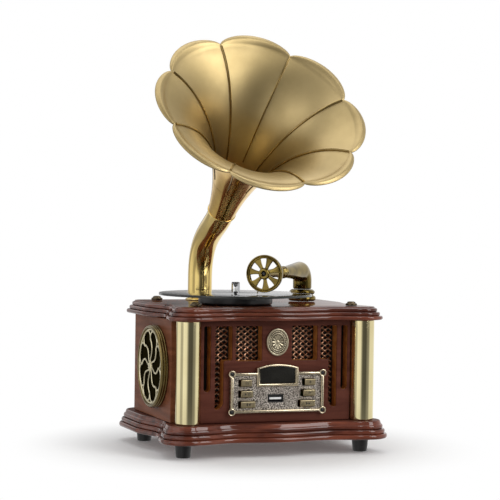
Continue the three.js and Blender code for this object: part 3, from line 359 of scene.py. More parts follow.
def make_woods():
    wood("gloss_mahogany", "gloss_wood", (0.19, 0.05, 0.026), (0.06, 0.014, 0.008), (0.2, 0.3), 0.06, 1, 0)
    wood("table_mahogany", "gloss_wood", (0.17, 0.05, 0.02), (0.08, 0.02, 0.009), (0.3, 0.4), 0.03, 0.6, 0)
    wood("satin_mahogany", "satin_wood", (0.115, 0.035, 0.022), (0.07, 0.019, 0.012), (0.42, 0.52),
         0.1, 0.06, 0.08)
    wood("side_mahogany", "satin_wood", (0.22, 0.076, 0.036), (0.13, 0.043, 0.02), (0.4, 0.5),
         0.1, 0.1, 0.05, GRAIN_ALONG_Y)
    wood("slot_wall_mahogany", None, (0.42, 0.17, 0.04), (0.26, 0.09, 0.02), (0.45, 0.55), 0.1, 0, 0.1)


def make_metals():
    metal("horn_brass", "horn_brass", (0.55, 0.42, 0.2), (0.32, 0.235, 0.095), 14, 0.7, (0.38, 0.48),
          coat=0.25)
    metal("stem_brass", "bright_brass", (0.87, 0.66, 0.25), (0.56, 0.38, 0.11), 22, 0.5, (0.09, 0.15),
          grain=0.02)
    metal("neck_brass", "bright_brass", (0.8, 0.54, 0.17), (0.5, 0.28, 0.06), 40, 0.7, (0.13, 0.2),
          grain=0.02)
    # The seams take a darker copy of the horn's brass: painted shade along the seams.
    metal("shaded_seam_brass", "horn_brass", (0.42, 0.3, 0.12), (0.17, 0.115, 0.04), 50, 0.6, (0.2, 0.28))
    metal("antique_brass", "dark_brass", (0.29, 0.21, 0.055), (0.05, 0.034, 0.009), 60, 0.75, (0.05, 0.1),
          0.3, 0.01)
    metal("bezel_brass", "dark_brass", (0.26, 0.195, 0.075), (0.07, 0.048, 0.016), 70, 0.6, (0.2, 0.32), 0.5)
    metal("rosette_brass", "dark_brass", (0.82, 0.74, 0.5), (0.4, 0.32, 0.16), 80, 0.3, (0.24, 0.34), 0.5)
    metal("champagne_brass", "champagne", (0.86, 0.76, 0.44), (0.64, 0.52, 0.25), 30, 0.35, (0.06, 0.1),
          grain=0.02)
    metal("frame_brass", "champagne", (0.92, 0.8, 0.58), (0.48, 0.36, 0.2), 120, 0.35, (0.22, 0.34), 0.5)
    metal("key_brass", "champagne", (0.6, 0.5, 0.31), (0.24, 0.18, 0.09), 170, 0.6, (0.25, 0.4), 0.8)
    metal("medallion_relief", None, (0.72, 0.63, 0.45), (0.28, 0.22, 0.13), 160, 0.5, (0.28, 0.4), 0.8)
    metal("medallion_ground", "pewter", (0.16, 0.13, 0.09), (0.05, 0.04, 0.03), 200, 0.5, (0.35, 0.5), 0.6)
    metal("cap_bronze", "dark_brass", (0.13, 0.1, 0.06), (0.05, 0.035, 0.02), 90, 0.5, (0.2, 0.32))
    metal("woven_copper", "copper_mesh", (0.62, 0.34, 0.21), (0.14, 0.05, 0.022), 300, 0.6, (0.24, 0.4),
          0.3, 0.2)
    new_finish("hammered_pewter", "pewter", draw_hammered_pewter, Metallic=1.0)
    grained("plain_steel", None, (0.62, 0.62, 0.6), (0.45, 0.45, 0.44), 0.2, 0.36, 0.15, metallic=1.0)


def make_plain_finishes():
    black = "black_plastic"
    grained("satin_black", black, (0.008, 0.008, 0.009), (0.015, 0.014, 0.014), 0.3, 0.42)
    grained("foot_black", black, (0.01, 0.009, 0.009), (0.018, 0.017, 0.016), 0.38, 0.5, 0.4)
    # A near-black sheet behind the woven copper: painted shade for the cabinet's inside.
    grained("painted_shade_sheet", None, (0.014, 0.008, 0.005), (0.008, 0.005, 0.003), 0.8, 0.95, 0.4)
    grained("glass_edge", None, (0.02, 0.022, 0.02), (0.035, 0.036, 0.033), 0.1, 0.2, 0.05)
    grained("display_glass", "dark_glass", (0.009, 0.008, 0.006), (0.013, 0.012, 0.009), 0.16, 0.24,
            0.02, 300.0)
    grained("circuit_board", None, (0.02, 0.12, 0.05), (0.012, 0.08, 0.035), 0.35, 0.55, 0.3)
    grained("socket_tongue", None, (0.82, 0.82, 0.8), (0.7, 0.7, 0.68), 0.35, 0.5, 0.1)
    grained("key_mark", None, (0.02, 0.015, 0.01), (0.035, 0.026, 0.018), 0.5, 0.7)
    new_finish("grille_cloth", "grille_cloth", draw_woven_cloth, Specular_IOR_Level=0.0)
    clear_glass("clear_glass", "clear_glass", (0.86, 0.87, 0.85), 0.01)
    clear_glass("crystal", "clear_glass", (0.97, 0.98, 1.0), 0.0)


make_woods()
make_metals()
make_plain_finishes()


# Shells: points in millimetres, and faces, that the makers below join into pieces


def ring_skin(rings, capped=True, closed_along=False):
    """Rings of equal count joined by a skin, with flat ends unless the skin closes on itself."""
    count = len(rings[0])
    points = [point for ring in rings for point in ring]
    faces = []
    spans = len(rings) if closed_along else len(rings) - 1
    for i in range(spans):
        near = i * count
        far = (i + 1) % len(rings) * count
        for j in range(count):
            k = (j + 1) % count
            faces.append((near + j, near + k, far + k, far + j))
    if capped and not closed_along:
        faces.append(tuple(range(count))[::-1])
        faces.append(tuple(range(spans * count, spans * count + count)))
    return points, faces


def joined(shells):
    points = []
    faces = []
    for shell_points, shell_faces in shells:
        first = len(points)
        points += shell_points
        faces += [tuple(first + k for k in face) for face in shell_faces]
    return points, faces


def softened(profile, radius, steps=4, closed=False):
    """A profile of points whose corners are rounded by a radius, less where a side is short."""
    points = [Vector(p) for p in profile]
    result = [] if closed else [points[0]]
    for i in range(len(points)) if closed else range(1, len(points) - 1):
        here = points[i]
        before = points[i - 1] - here
        after = points[(i + 1) % len(points)] - here
        reach = min(radius, before.length * 0.45, after.length * 0.45)
        start = here + before.normalized() * reach
        end = here + after.normalized() * reach
        for step in range(steps + 1):
            share = step / steps
            result.append(start * (1 - share) ** 2 + here * 2 * share * (1 - share) + end * share ** 2)
    if not closed:
        result.append(points[-1])
    return [tuple(p) for p in result]


def rounded(outline, radius, steps=5):
    return softened(outline, radius, steps, closed=True)


def round_turns(steps):
    return [2 * math.pi * i / steps for i in range(steps)]


def hoop(centre, across, upward, radius, steps):
    """A ring of points round a centre, in the plane of two directions."""
    return [centre + (across * math.cos(turn) + upward * math.sin(turn)) * radius
            for turn in round_turns(steps)]


def oval(x, y, radius_x, radius_y, steps=48):
    return [(x + radius_x * math.cos(turn), y + radius_y * math.sin(turn)) for turn in round_turns(steps)]


def arc(x, y, radius, start, end, steps):
    turns = [start + (end - start) * i / steps for i in range(steps + 1)]
    return [(x + radius * math.cos(turn), y + radius * math.sin(turn)) for turn in turns]


def frame_axes(axis):
    """Two directions square to an axis."""
    aside = UP if abs(axis.z) < 0.9 else Vector((1, 0, 0))
    across = aside.cross(axis).normalized()
    return across, axis.cross(across)


def turned(profile, place, axis=UP, steps=64, soft=0.0, fine=4, closed=False):
    """A profile of (radius, height) pairs, softened and turned about an axis through a place."""
    if soft:
        profile = softened(profile, soft, fine, closed)
    across, upward = frame_axes(axis)
    rings = [hoop(Vector(place) + axis * height, across, upward, radius, steps) for radius, height in profile]
    return ring_skin(rings, capped=not closed, closed_along=closed)


def tube(points, radius, sides=8, closed=False, flatness=1.0, flat_axis=None):
    """A round tube along points. A flatness under 1 thins it along an axis."""
    rings = []
    normal = None
    for i, point in enumerate(points):
        before = points[i - 1] if closed or i else point
        after = points[(i + 1) % len(points)] if closed or i < len(points) - 1 else point
        tangent = (after - before).normalized()
        if flat_axis is not None:
            normal = flat_axis
        elif normal is None:
            normal = frame_axes(tangent)[0]
        normal = (normal - tangent * normal.dot(tangent)).normalized()
        size = radius(i / max(1, len(points) - 1)) if callable(radius) else radius
        rings.append(hoop(point, normal * flatness, tangent.cross(normal), size, sides))
    return ring_skin(rings, capped=not closed, closed_along=closed)


def signed_area(outline):
    return sum(x0 * y1 - x1 * y0 for (x0, y0), (x1, y1) in zip(outline, outline[1:] + outline[:1])) / 2


def drawn_in(outline, inset):
    """An outline moved to its left side by an inset, with mitred corners."""
    result = []
    for i, corner in enumerate(outline):
        here = Vector(corner)
        before = (here - Vector(outline[i - 1])).normalized()
        after = (Vector(outline[(i + 1) % len(outline)]) - here).normalized()
        left_before = Vector((-before.y, before.x))
        left_after = Vector((-after.y, after.x))
        scale = inset / max(0.3, 1 + left_before.dot(left_after))
        result.append(tuple(here + (left_before + left_after) * scale))
    return result


def facing(level, inwards=1, axis=1):
    """Gives the places of (across, up, depth) on a flat face at a level of an axis.

    Across is along y on a side of the cabinet and along x elsewhere. The depth goes inwards."""
    def place(across, up, depth):
        spot = [across, across, up]
        spot[axis] = level + inwards * depth
        return Vector(spot)
    return place


def plate_edge(outline, depth, bevel, place, steps):
    """The rings of a plate's edge, from its rounded front to its back."""
    rings = []
    for step in range(steps + 1):
        turn = math.pi / 2 * step / steps
        edge = drawn_in(outline, bevel * (1 - math.sin(turn)))
        rings.append([place(x, y, bevel * (1 - math.cos(turn))) for x, y in edge])
    rings.append([place(x, y, depth) for x, y in outline])
    return rings


def filled(loops):
    """The faces that fill a flat side between its loops, each given by its first point and its outline."""
    lookup = [first + k for first, outline in loops for k in range(len(outline))]
    flat = [[Vector((x, y, 0)) for x, y in outline] for _, outline in loops]
    return [tuple(lookup[k] for k in face) for face in tessellate_polygon(flat)]


def plate(outlines, depth, bevel, place, steps=4):
    """A flat plate with rounded front edges. The first outline is the rim and the others are holes."""
    points = []
    faces = []
    front_loops = []
    back_loops = []
    for number, outline in enumerate(outlines):
        if (signed_area(outline) > 0) != (number == 0):
            outline = outline[::-1]
        first = len(points)
        edge, walls = ring_skin(plate_edge(outline, depth, bevel, place, steps), capped=False)
        points += edge
        faces += [tuple(first + k for k in face) for face in walls]
        front_loops.append((first, drawn_in(outline, bevel)))
        back_loops.append((len(points) - len(outline), outline))
    return points, faces + filled(front_loops) + filled(back_loops)


def piece(name, node, *parts, body="cabinet", crease=32, flat_faces=False):
    """One piece of (shell, finish) parts that rides on a body and stands for a CAD node."""
    mesh = bpy.data.meshes.new(name)
    work = bmesh.new()
    for number, ((points, faces), finish) in enumerate(parts):
        mesh.materials.append(FINISH[finish])
        corners = [work.verts.new(at(*point)) for point in points]
        for face in faces:
            made = work.faces.new([corners[k] for k in face])
            made.material_index = number
            made.smooth = True
    bmesh.ops.remove_doubles(work, verts=work.verts, dist=0.002 * MM)
    bmesh.ops.dissolve_degenerate(work, edges=work.edges, dist=0.001 * MM)
    bmesh.ops.recalc_face_normals(work, faces=work.faces)
    work.to_mesh(mesh)
    work.free()
    mesh.set_sharp_from_angle(angle=math.radians(crease))
    made_object = in_scene(name, mesh)
    if flat_faces:
        made_object.modifiers.new("even_faces", "WEIGHTED_NORMAL").keep_sharp = True
    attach(made_object, body)
    if node:
        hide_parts(node)
    return made_object


def refinish(made_object, finish, chosen):
    """Gives another finish to the faces that are chosen by their middle and their normal."""
    materials = made_object.data.materials
    materials.append(FINISH[finish])
    for face in made_object.data.polygons:
        if chosen(in_cabinet(*face.center), face.normal):
            face.material_index = len(materials) - 1


def upright(name, node, finish, profile, soft, fine=4, steps=64, body="cabinet", closed=False):
    """A piece turned about a vertical axis, from pairs of a radius and a height over its foot."""
    piece(name, node, (turned(profile, Box(node).foot, UP, steps, soft, fine, closed), finish), body=body)


def nodes_named(start):
    """The CAD nodes whose names begin in one way."""
    return [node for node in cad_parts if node.startswith(start)]


# Mouldings: waves on the front and on the front half of each side, round corner turrets at the front,
# plain round corners at the back, and three beads one over the other
BASE_SHAPE = {"corner": 21.4, "recess": 6.5, "crest": 1.0, "step": 2.0, "bulge": 1.3, "bead": 4.1}
SLAB_SHAPE = {"corner": 18.0, "recess": 6.5, "crest": 1.0, "step": 2.5, "bulge": 1.3, "bead": 3.4}
TURRET_OVERTURN = math.pi / 8
TURRET_STEPS = 24
WAVE_STEPS = 30
BACK_CORNER_STEPS = 14
SIDE_WAVE_END = 20
RECESS_SHARE = 0.42
BEADS = 3
BEAD_STEPS = 12


def wave_inset(share, recess, crest):
    """How far a wave stands back, from a turret at a share of 0 to its crest at 1."""
    if share < RECESS_SHARE:
        return recess * 0.5 * (1 - math.cos(math.pi * share / RECESS_SHARE))
    rest = (share - RECESS_SHARE) / (1 - RECESS_SHARE)
    return recess - (recess - crest) * 0.5 * (1 - math.cos(math.pi * rest))


def right_outline(half_width, half_depth, radius, shape):
    """The right half of a moulding's outline, from the middle of its front to its back corner."""
    x = half_width - radius
    y = half_depth - radius
    edge = radius * (1 - math.cos(TURRET_OVERTURN))
    turret_side = radius * math.sin(TURRET_OVERTURN)
    points = []
    for i in range(WAVE_STEPS):
        share = i / WAVE_STEPS
        inset = edge + wave_inset(1 - share, shape["recess"], shape["crest"])
        points.append(((x - turret_side) * share, inset - half_depth))
    points += arc(x, -y, radius, -math.pi / 2 - TURRET_OVERTURN, TURRET_OVERTURN, TURRET_STEPS)
    start = turret_side - y
    for i in range(1, WAVE_STEPS):
        share = i / WAVE_STEPS
        inset = edge + wave_inset(share, shape["recess"], -edge)
        points.append((half_width - inset, start + (SIDE_WAVE_END - start) * share))
    return points + arc(x, y, radius, 0, math.pi / 2, BACK_CORNER_STEPS)


def waved_ring(half_width, half_depth, shape, inset, z):
    right = right_outline(half_width - inset, half_depth - inset, shape["corner"] - inset, shape)
    left = [(-x, y) for x, y in right[:0:-1]]
    return [(x, y, z) for x, y in right + left]


def bead_profile(shape, height):
    """(inset, height) pairs from the bottom up: the beads, then a rounded top edge."""
    pairs = []
    for i in range(BEADS):
        for j in range(BEAD_STEPS + 1):
            turn = math.pi * j / BEAD_STEPS - math.pi / 2
            pairs.append((shape["step"] * i + shape["bulge"] * (1 - math.cos(turn)),
                          shape["bead"] * (i + (1 + math.sin(turn)) / 2)))
    half_edge = (height - shape["bead"] * BEADS) / 2
    for j in range(BEAD_STEPS // 2 + 1):
        turn = math.pi / 2 * j / (BEAD_STEPS // 2)
        pairs.append((shape["step"] * BEADS + half_edge * (1 - math.cos(turn)),
                      height - half_edge * (1 - math.sin(turn))))
    return pairs


def make_moulding(name, node, shape, top_finish):
    """A glossy moulding whose flat top has a finish of its own."""
    box = Box(node)
    rings = [waved_ring(box.radius, box.high.y, shape, inset, box.low.z + height)
             for inset, height in bead_profile(shape, box.size.z)]
    moulding = piece(name, node, (ring_skin(rings), "gloss_mahogany"), crease=38)
    refinish(moulding, top_finish, lambda middle, normal: normal.z > 0.9 and middle.z > box.high.z - 0.3)


# Cabinet panels
SLOT = {"x": 64.1, "half": 3.0, "top": 5.0, "height": 56.4}
HOOK = {"x": 49.1, "half": 7.7, "top": 5.0, "height": 29.6, "leg": 7.6, "leg_height": 42.0, "tip": 4.0}
LOUVRE = {"x": 26.1, "half": 12.1, "top": 5.0, "height": 30.2}
OPENING_FILLET = 1.6
PANEL_EDGE = 0.8
KEY_WAY_MARGIN = 1.1
SPEAKER_WAY = 30.6
BACK_SCREW_SHARES = (0.88, 0.86)
BACK_SCREW = {"radius": 3.2, "height": 1.1}
INLET_SCREW = {"radius": 1.8, "height": 0.6}
INLET_SCREW_SHARE = 0.38
CROSS_HEIGHT = 1.0
INLET_BORE = 3.1
INLET_DEPTH = 11
INLET_PIN = {"radius": 1, "behind": 1.5}


def slot_outline():
    top = PANEL.high.z - SLOT["top"]
    foot = arc(SLOT["x"], top - SLOT["height"] + SLOT["half"], SLOT["half"], math.pi, 2 * math.pi, 12)
    corners = [(SLOT["x"] + SLOT["half"], top), (SLOT["x"] - SLOT["half"], top)]
    return foot + softened([foot[-1], *corners, foot[0]], 1.2)[1:-1]


def hook_outline():
    inner = HOOK["x"] - HOOK["half"]
    outer = HOOK["x"] + HOOK["half"]
    leg = outer - HOOK["leg"]
    top = PANEL.high.z - HOOK["top"]
    bottom = top - HOOK["height"]
    leg_bottom = bottom - HOOK["leg_height"]
    corners = [
        (outer, top), (inner, top), (inner, bottom), (leg, bottom), (leg, leg_bottom + HOOK["tip"]),
        (leg + HOOK["leg"] / 2, leg_bottom), (outer, leg_bottom),
    ]
    return rounded(corners, OPENING_FILLET)


def louvre_outline():
    top = PANEL.high.z - LOUVRE["top"]
    sides = [LOUVRE["x"] - LOUVRE["half"], LOUVRE["x"] + LOUVRE["half"]]
    return rounded(rectangle(*sides, top - LOUVRE["height"], top), OPENING_FILLET)


def key_way(word):
    """The opening behind the three keys of one side."""
    boxes = [Box(node) for node in nodes_named(f"button_{word}")]
    left = min(box.low.x for box in boxes) - KEY_WAY_MARGIN
    right = max(box.high.x for box in boxes) + KEY_WAY_MARGIN
    bottom = min(box.low.z for box in boxes) - KEY_WAY_MARGIN
    top = max(box.high.z for box in boxes) + KEY_WAY_MARGIN
    return rectangle(left, right, bottom, top)


def make_front_panel():
    outlines = [PANEL.outline()]
    for side in (-1, 1):
        for opening in (slot_outline(), hook_outline(), louvre_outline()):
            outlines.append([(side * x, z) for x, z in opening])
    outlines += [*map(key_way, SIDES), Box("usb_socket").outline(GAP)]
    shell = plate(outlines, PANEL.size.y, PANEL_EDGE, facing(PANEL.low.y))
    panel = piece("cabinet_front", "front_panel", (shell, "satin_mahogany"), flat_faces=True)
    wall_front = PANEL.low.y + PANEL_EDGE * 1.5
    refinish(panel, "slot_wall_mahogany",
             lambda middle, normal: middle.y > wall_front and abs(normal.y) < 0.5)


def make_side_panel(word, side):
    box = Box(f"{word}_side_panel")
    cloth = Box(f"{word}_grille_cloth").middle
    rim = rectangle(box.low.y, box.high.y, box.low.z, box.high.z)
    hole = oval(cloth.y, cloth.z, SPEAKER_WAY, SPEAKER_WAY, 64)
    outer = box.high.x if side > 0 else box.low.x
    shell = plate([rim, hole], box.size.x, PANEL_EDGE, facing(outer, -side, 0))
    piece(f"cabinet_{word}_side", f"{word}_side_panel", (shell, "side_mahogany"), flat_faces=True)


def screw_shell(place, radius, height):
    """A round screw head that looks backwards."""
    profile = [(0, -height), (radius, -height), (radius, height * 0.35), (radius * 0.5, height), (0, height)]
    return turned(profile, place, BACKWARD, 24, radius * 0.3)


def shaded_cross_shell(place, radius, height):
    """The dark cross in a screw's head: painted shade that stands for the cross slot's recess."""
    centre = place + BACKWARD * height
    arms = [way * radius * 0.6 for way in frame_axes(BACKWARD)]
    return joined([tube([centre - arm, centre + arm], radius * 0.14) for arm in arms])


def make_back():
    box = Box("back_panel")
    socket = Box("dc_socket")
    hole_radius = socket.size.z / 2 + GAP
    hole = oval(socket.middle.x, socket.middle.z, hole_radius, hole_radius)
    shell = plate([box.outline(), hole], box.size.y, PANEL_EDGE, facing(box.high.y, -1))
    piece("cabinet_back", "back_panel", (shell, "satin_mahogany"), flat_faces=True)
    across, up = (size / 2 * share for size, share in zip((box.size.x, box.size.z), BACK_SCREW_SHARES))
    spots = [Vector((box.middle.x + side * across, box.high.y, box.middle.z + level * up))
             for side in (-1, 1) for level in (-1, 1)]
    heads = joined([screw_shell(spot, **BACK_SCREW) for spot in spots])
    # A black cross on each head: painted shade for its cross slot.
    shaded_crosses = joined([shaded_cross_shell(spot, BACK_SCREW["radius"], CROSS_HEIGHT) for spot in spots])
    piece("back_screws", None, (heads, "antique_brass"), (shaded_crosses, "satin_black"))


def make_rear_inlet():
    box = Box("rear_jack_plate")
    socket = Box("dc_socket")
    middle = socket.middle
    radius = socket.size.z / 2
    outlines = [rounded(box.outline(), 3), oval(middle.x, middle.z, radius + GAP, radius + GAP)]
    shell = plate(outlines, box.size.y, 0.5, facing(box.high.y, -1))
    reach = box.size.x * INLET_SCREW_SHARE
    spots = [Vector((middle.x + side * reach, box.high.y, middle.z)) for side in (-1, 1)]
    heads = joined([screw_shell(spot, **INLET_SCREW) for spot in spots])
    piece("inlet_plate", "rear_jack_plate", (shell, "satin_black"), (heads, "plain_steel"), flat_faces=True)
    mouth = (middle.x, socket.high.y, middle.z)
    back = -socket.size.y
    wall = softened([(radius, back), (radius, 0), (INLET_BORE, 0), (INLET_BORE, -INLET_DEPTH)], 0.3, 3)
    barrel = turned([(0, back), *wall, (0, -INLET_DEPTH)], mouth, BACKWARD)
    pin_profile = rectangle(0, INLET_PIN["radius"], -INLET_DEPTH, -INLET_PIN["behind"])
    pin = turned(pin_profile, mouth, BACKWARD, 24, 0.4, 3)
    piece("inlet_socket", "dc_socket", (barrel, "satin_black"), (pin, "plain_steel"))


def make_round_fittings():
    """The corner pillars, the feet and the caps on the table."""
    for word in SIDES:
        node = f"{word}_pillar"
        box = Box(node)
        column = [(0, 0), (box.radius, 0), (box.radius, box.size.z), (0, box.size.z)]
        upright(f"{word}_corner_pillar", node, "champagne_brass", column, 0.8, steps=96)
    for node in nodes_named("foot_"):
        box = Box(node)
        top = box.radius
        rise = box.size.z
        foot = [(0, 0), (top - 1.7, 0), (top - 0.6, rise - 2.4), (top, rise - 2), (top, rise), (0, rise)]
        upright(f"black_{node}", node, "foot_black", foot, 0.9, steps=56)
    for node in nodes_named("table_cap_"):
        box = Box(node)
        shares = [(0, 0), (1, 0), (1, 0.5), (0.74, 0.62), (0.7, 0.86), (0.45, 1), (0, 1)]
        cap = [(box.radius * across, box.size.z * up) for across, up in shares]
        upright(f"brass_{node}", node, "cap_bronze", cap, 0.5, steps=48)


# Woven copper behind the front openings, over a dark sheet of painted shade
WEAVE_COLUMN = 3.05
WEAVE_ROW = 2.33
STEPS_PER_CROSSING = 5
STRAND_RADIUS = 0.62
STRAND_FLATNESS = 0.6
STRAND_RISE = 0.5
NET_MARGIN = 0.8
# The thickness of the dark sheet of painted shade behind the nets.
SHADE_SHEET_DEPTH = 0.6


def slanted_strand(first, direction, x0, columns, z0, z1, front):
    """One strand that slants across an opening, over one crossing and under the next."""
    points = []
    for i in range(columns * STEPS_PER_CROSSING + 1):
        across = i / STEPS_PER_CROSSING
        up = (first + direction * across) * WEAVE_ROW + z0
        if z0 <= up <= z1:
            rise = -direction * STRAND_RISE * math.cos(math.pi * across)
            points.append(Vector((x0 + across * WEAVE_COLUMN, front + rise, up)))
    return points


def woven_strands(opening, side, z0, z1, front):
    reach = opening["half"] + NET_MARGIN
    x0 = side * opening["x"] - reach
    columns = int(2 * reach / WEAVE_COLUMN)
    rows = int((z1 - z0) / WEAVE_ROW)
    strands = [
        slanted_strand(first, direction, x0, columns, z0, z1, front)
        for direction in (-1, 1) for first in range(-columns - columns % 2, rows + columns + 2, 2)]
    return [tube(points, STRAND_RADIUS, flatness=STRAND_FLATNESS, flat_axis=FORWARD)
            for points in strands if len(points) > 3]


def make_nets():
    top = PANEL.high.z - HOOK["top"] + NET_MARGIN
    hook_bottom = top - HOOK["height"] - HOOK["leg_height"] - 2 * NET_MARGIN
    louvre_bottom = top - LOUVRE["height"] - 2 * NET_MARGIN
    for word, side in SIDES.items():
        box = Box(f"{word}_front_net")
        strands = woven_strands(HOOK, side, hook_bottom, top, box.middle.y)
        strands += woven_strands(LOUVRE, side, louvre_bottom, top, box.middle.y)
        # A dark sheet behind the strands, as painted shade for the cabinet's inside.
        shade_sheet = plate([box.outline()], SHADE_SHEET_DEPTH, 0.1, facing(box.high.y + SHADE_SHEET_DEPTH), 1)
        piece(f"{word}_woven_net", f"{word}_front_net", (joined(strands), "woven_copper"),
              (shade_sheet, "painted_shade_sheet"))


# Speaker grilles
ROSETTE_PETALS = 8
RIB_BOW = math.radians(-20)
RIB_RADIUS = 0.85
FORK_RADIUS = 24.0
FORK_SPREAD = math.radians(15)
PETAL_END = 31.7
RING_INSIDE = 31.5
RING_OUTSIDE = 33.3
HUB_RADIUS = 4.4
BEZEL_BORE = 33.6


def make_grille(word, side):
    box = Box(f"{word}_grille_bezel")
    outward = Vector((side, 0, 0))
    centre = Vector((box.high.x if side < 0 else box.low.x, box.middle.y, box.middle.z))
    stand = box.size.x
    radius = box.size.z / 2
    ring = [
        (BEZEL_BORE, 0), (radius, 0), (radius, 1.3), (radius - 0.6, 1.7), (radius, 2.2), (radius, 3.5),
        (radius - 0.6, 3.9), (radius, 4.4), (radius - 0.2, 5.4), (radius - 1, stand - 0.2), (34.4, stand),
        (BEZEL_BORE, stand - 0.5),
    ]
    shell = turned(ring, centre, outward, 112, 0.35, 3, closed=True)
    piece(f"{word}_bezel_ring", f"{word}_grille_bezel", (shell, "bezel_brass"))
    make_rosette(word, side, centre, stand - 1.4)
    make_cloth(word, side)


def make_rosette(word, side, centre, face):
    """Eight bowed ribs that fork before a bright ring, round a small hub with beads."""
    outward = Vector((side, 0, 0))
    foot = face - 1.4

    def place(turn, radius):
        return centre + Vector((side * face, side * math.cos(turn) * radius, math.sin(turn) * radius))

    rim = [
        (RING_INSIDE, foot), (RING_INSIDE, face + 0.2), (32.3, face + 0.9), (RING_OUTSIDE, face + 0.3),
        (RING_OUTSIDE, foot),
    ]
    shells = [turned(rim, centre, outward, 112, 0.4, 3, closed=True)]
    for root in round_turns(ROSETTE_PETALS):
        shells += forked_rib(place, root, outward)
    dome = [
        (0, foot), (HUB_RADIUS, foot), (HUB_RADIUS, face), (HUB_RADIUS * 0.6, face + 0.9), (0, face + 1.1),
    ]
    shells.append(turned(dome, centre, outward, 48, 0.7))
    for root in round_turns(ROSETTE_PETALS):
        spot = place(root + math.pi / ROSETTE_PETALS, HUB_RADIUS * 0.95)
        shells.append(turned([(0, 0), (0.9, 0.1), (0.7, 0.7), (0, 1)], spot, outward, 14))
    piece(f"{word}_rosette_ribs", f"{word}_grille_rosette", (joined(shells), "rosette_brass"))


def rib_radius(share):
    """A rib thickens from the hub to its fork."""
    return RIB_RADIUS * (0.75 + 0.4 * share)


def forked_rib(place, root, outward):
    stem = []
    start = HUB_RADIUS * 0.7
    for i in range(17):
        share = i / 16
        turn = root + RIB_BOW * math.sin(math.pi * share)
        stem.append(place(turn, start + (FORK_RADIUS - start) * share))
    shells = [tube(stem, rib_radius, 10, flatness=0.8, flat_axis=outward)]
    for way in (-1, 1):
        branch = []
        for i in range(13):
            turn = math.pi / 2 * i / 12
            radius = FORK_RADIUS + (PETAL_END - FORK_RADIUS) * math.sin(turn)
            branch.append(place(root + way * FORK_SPREAD * (1 - math.cos(turn)), radius))
        shells.append(tube(branch, RIB_RADIUS, 10, flatness=0.8, flat_axis=outward))
    return shells


def make_cloth(word, side):
    box = Box(f"{word}_grille_cloth")
    radius = box.size.z / 2
    foot = (box.high.x if side < 0 else box.low.x, box.middle.y, box.middle.z)
    crown = [(0, 0), (radius, 0)]
    for i in range(9):
        share = i / 8
        crown.append((radius * (1 - share), box.size.x * (0.7 + 0.3 * math.sin(share * math.pi / 2))))
    shell = turned(crown, foot, Vector((side, 0, 0)), 96)
    piece(f"{word}_speaker_cloth", f"{word}_grille_cloth", (shell, "grille_cloth"))


# Control plate
ARCH = {"half": 19.3, "floor": PANEL.low.z + 31.1, "shoulder": 16.6, "rise": 3.0, "rim": 2.6}
RING_RADIUS = 3.6
RING_BEAD = 3.2
RING_HOLE = 2.1
RING_INSET = 1.2
FRAME_BAR = 2.6
FRAME_BEVEL = 1.1
KEY_OVERLAP = 0.4
KEY_RECESS = 1.6
KEY_FLANGE = 0.8
SIGN_SIZE = 1.25
SIGN_THICKNESS = 0.12
PLATE_SCREW_SHANK = (1.1, 7)
USB_WALL = 0.6
USB_DEPTH = 9
USB_TONGUE = {"length": 8, "half": 0.95, "behind": 1.2}


def arch_outline(inset, steps=20):
    half = ARCH["half"] - inset
    low = ARCH["floor"] + inset
    shoulder = ARCH["floor"] + ARCH["shoulder"] - inset / 2
    points = [(-half, low), (half, low)]
    for i in range(steps + 1):
        across = 1 - 2 * i / steps
        points.append((half * across, shoulder + (ARCH["rise"] - inset / 4) * (1 - across * across)))
    return points


def plate_rim():
    """The lower plate's sides: half width, bottom and top."""
    box = Box("plate_frame")
    ring = RING_RADIUS - RING_INSET
    return box.radius - ring, box.low.z + ring, Box("plate_screw_left_high").middle.z + RING_INSET


def key_hole(node):
    box = Box(node)
    sides = [box.low.x + KEY_OVERLAP - KEY_RECESS, box.high.x - KEY_OVERLAP]
    return rounded(rectangle(*sides, box.low.z + KEY_OVERLAP, box.high.z - KEY_OVERLAP), 0.5, 3)


def notched_rim():
    """The lower plate's outline, with a notch for the display whose edge lies under the frame."""
    half, bottom, top = plate_rim()
    notch = ARCH["half"] - ARCH["rim"] / 2
    notch_floor = ARCH["floor"] + ARCH["rim"] / 2
    corners = [
        (-half, bottom), (half, bottom), (half, top), (notch, top), (notch, notch_floor),
        (-notch, notch_floor), (-notch, top), (-half, top),
    ]
    return rounded(corners, 1.0, 3)


def socket_outline(grow):
    return rounded(Box("usb_socket").outline(grow), 0.4, 3)


def make_control_plate():
    box = Box("control_plate")
    key_holes = [key_hole(node) for node in nodes_named("button_")]
    outlines = [notched_rim(), *key_holes, socket_outline(GAP + 0.1)]
    lower = plate(outlines, box.size.y, 0.25, facing(box.low.y))
    arch = [arch_outline(0.2), arch_outline(ARCH["rim"])]
    upper = plate(arch, box.size.y - 0.05, 0.2, facing(box.low.y + 0.02))
    piece("hammered_plate", "control_plate", (lower, "hammered_pewter"), (upper, "frame_brass"),
          flat_faces=True)


def frame_bars():
    """The frame's straight bars, which end inside the corner rings."""
    half, bottom, top = plate_rim()
    ring = RING_INSET + RING_HOLE + 0.5
    arch_side = ARCH["half"] - 1.0
    return [
        rectangle(-half, -half + FRAME_BAR, bottom + ring, top - ring),
        rectangle(half - FRAME_BAR, half, bottom + ring, top - ring),
        rectangle(-half + ring, half - ring, bottom, bottom + FRAME_BAR),
        rectangle(-half + ring, -arch_side, top - FRAME_BAR, top),
        rectangle(arch_side, half - ring, top - FRAME_BAR, top),
    ]


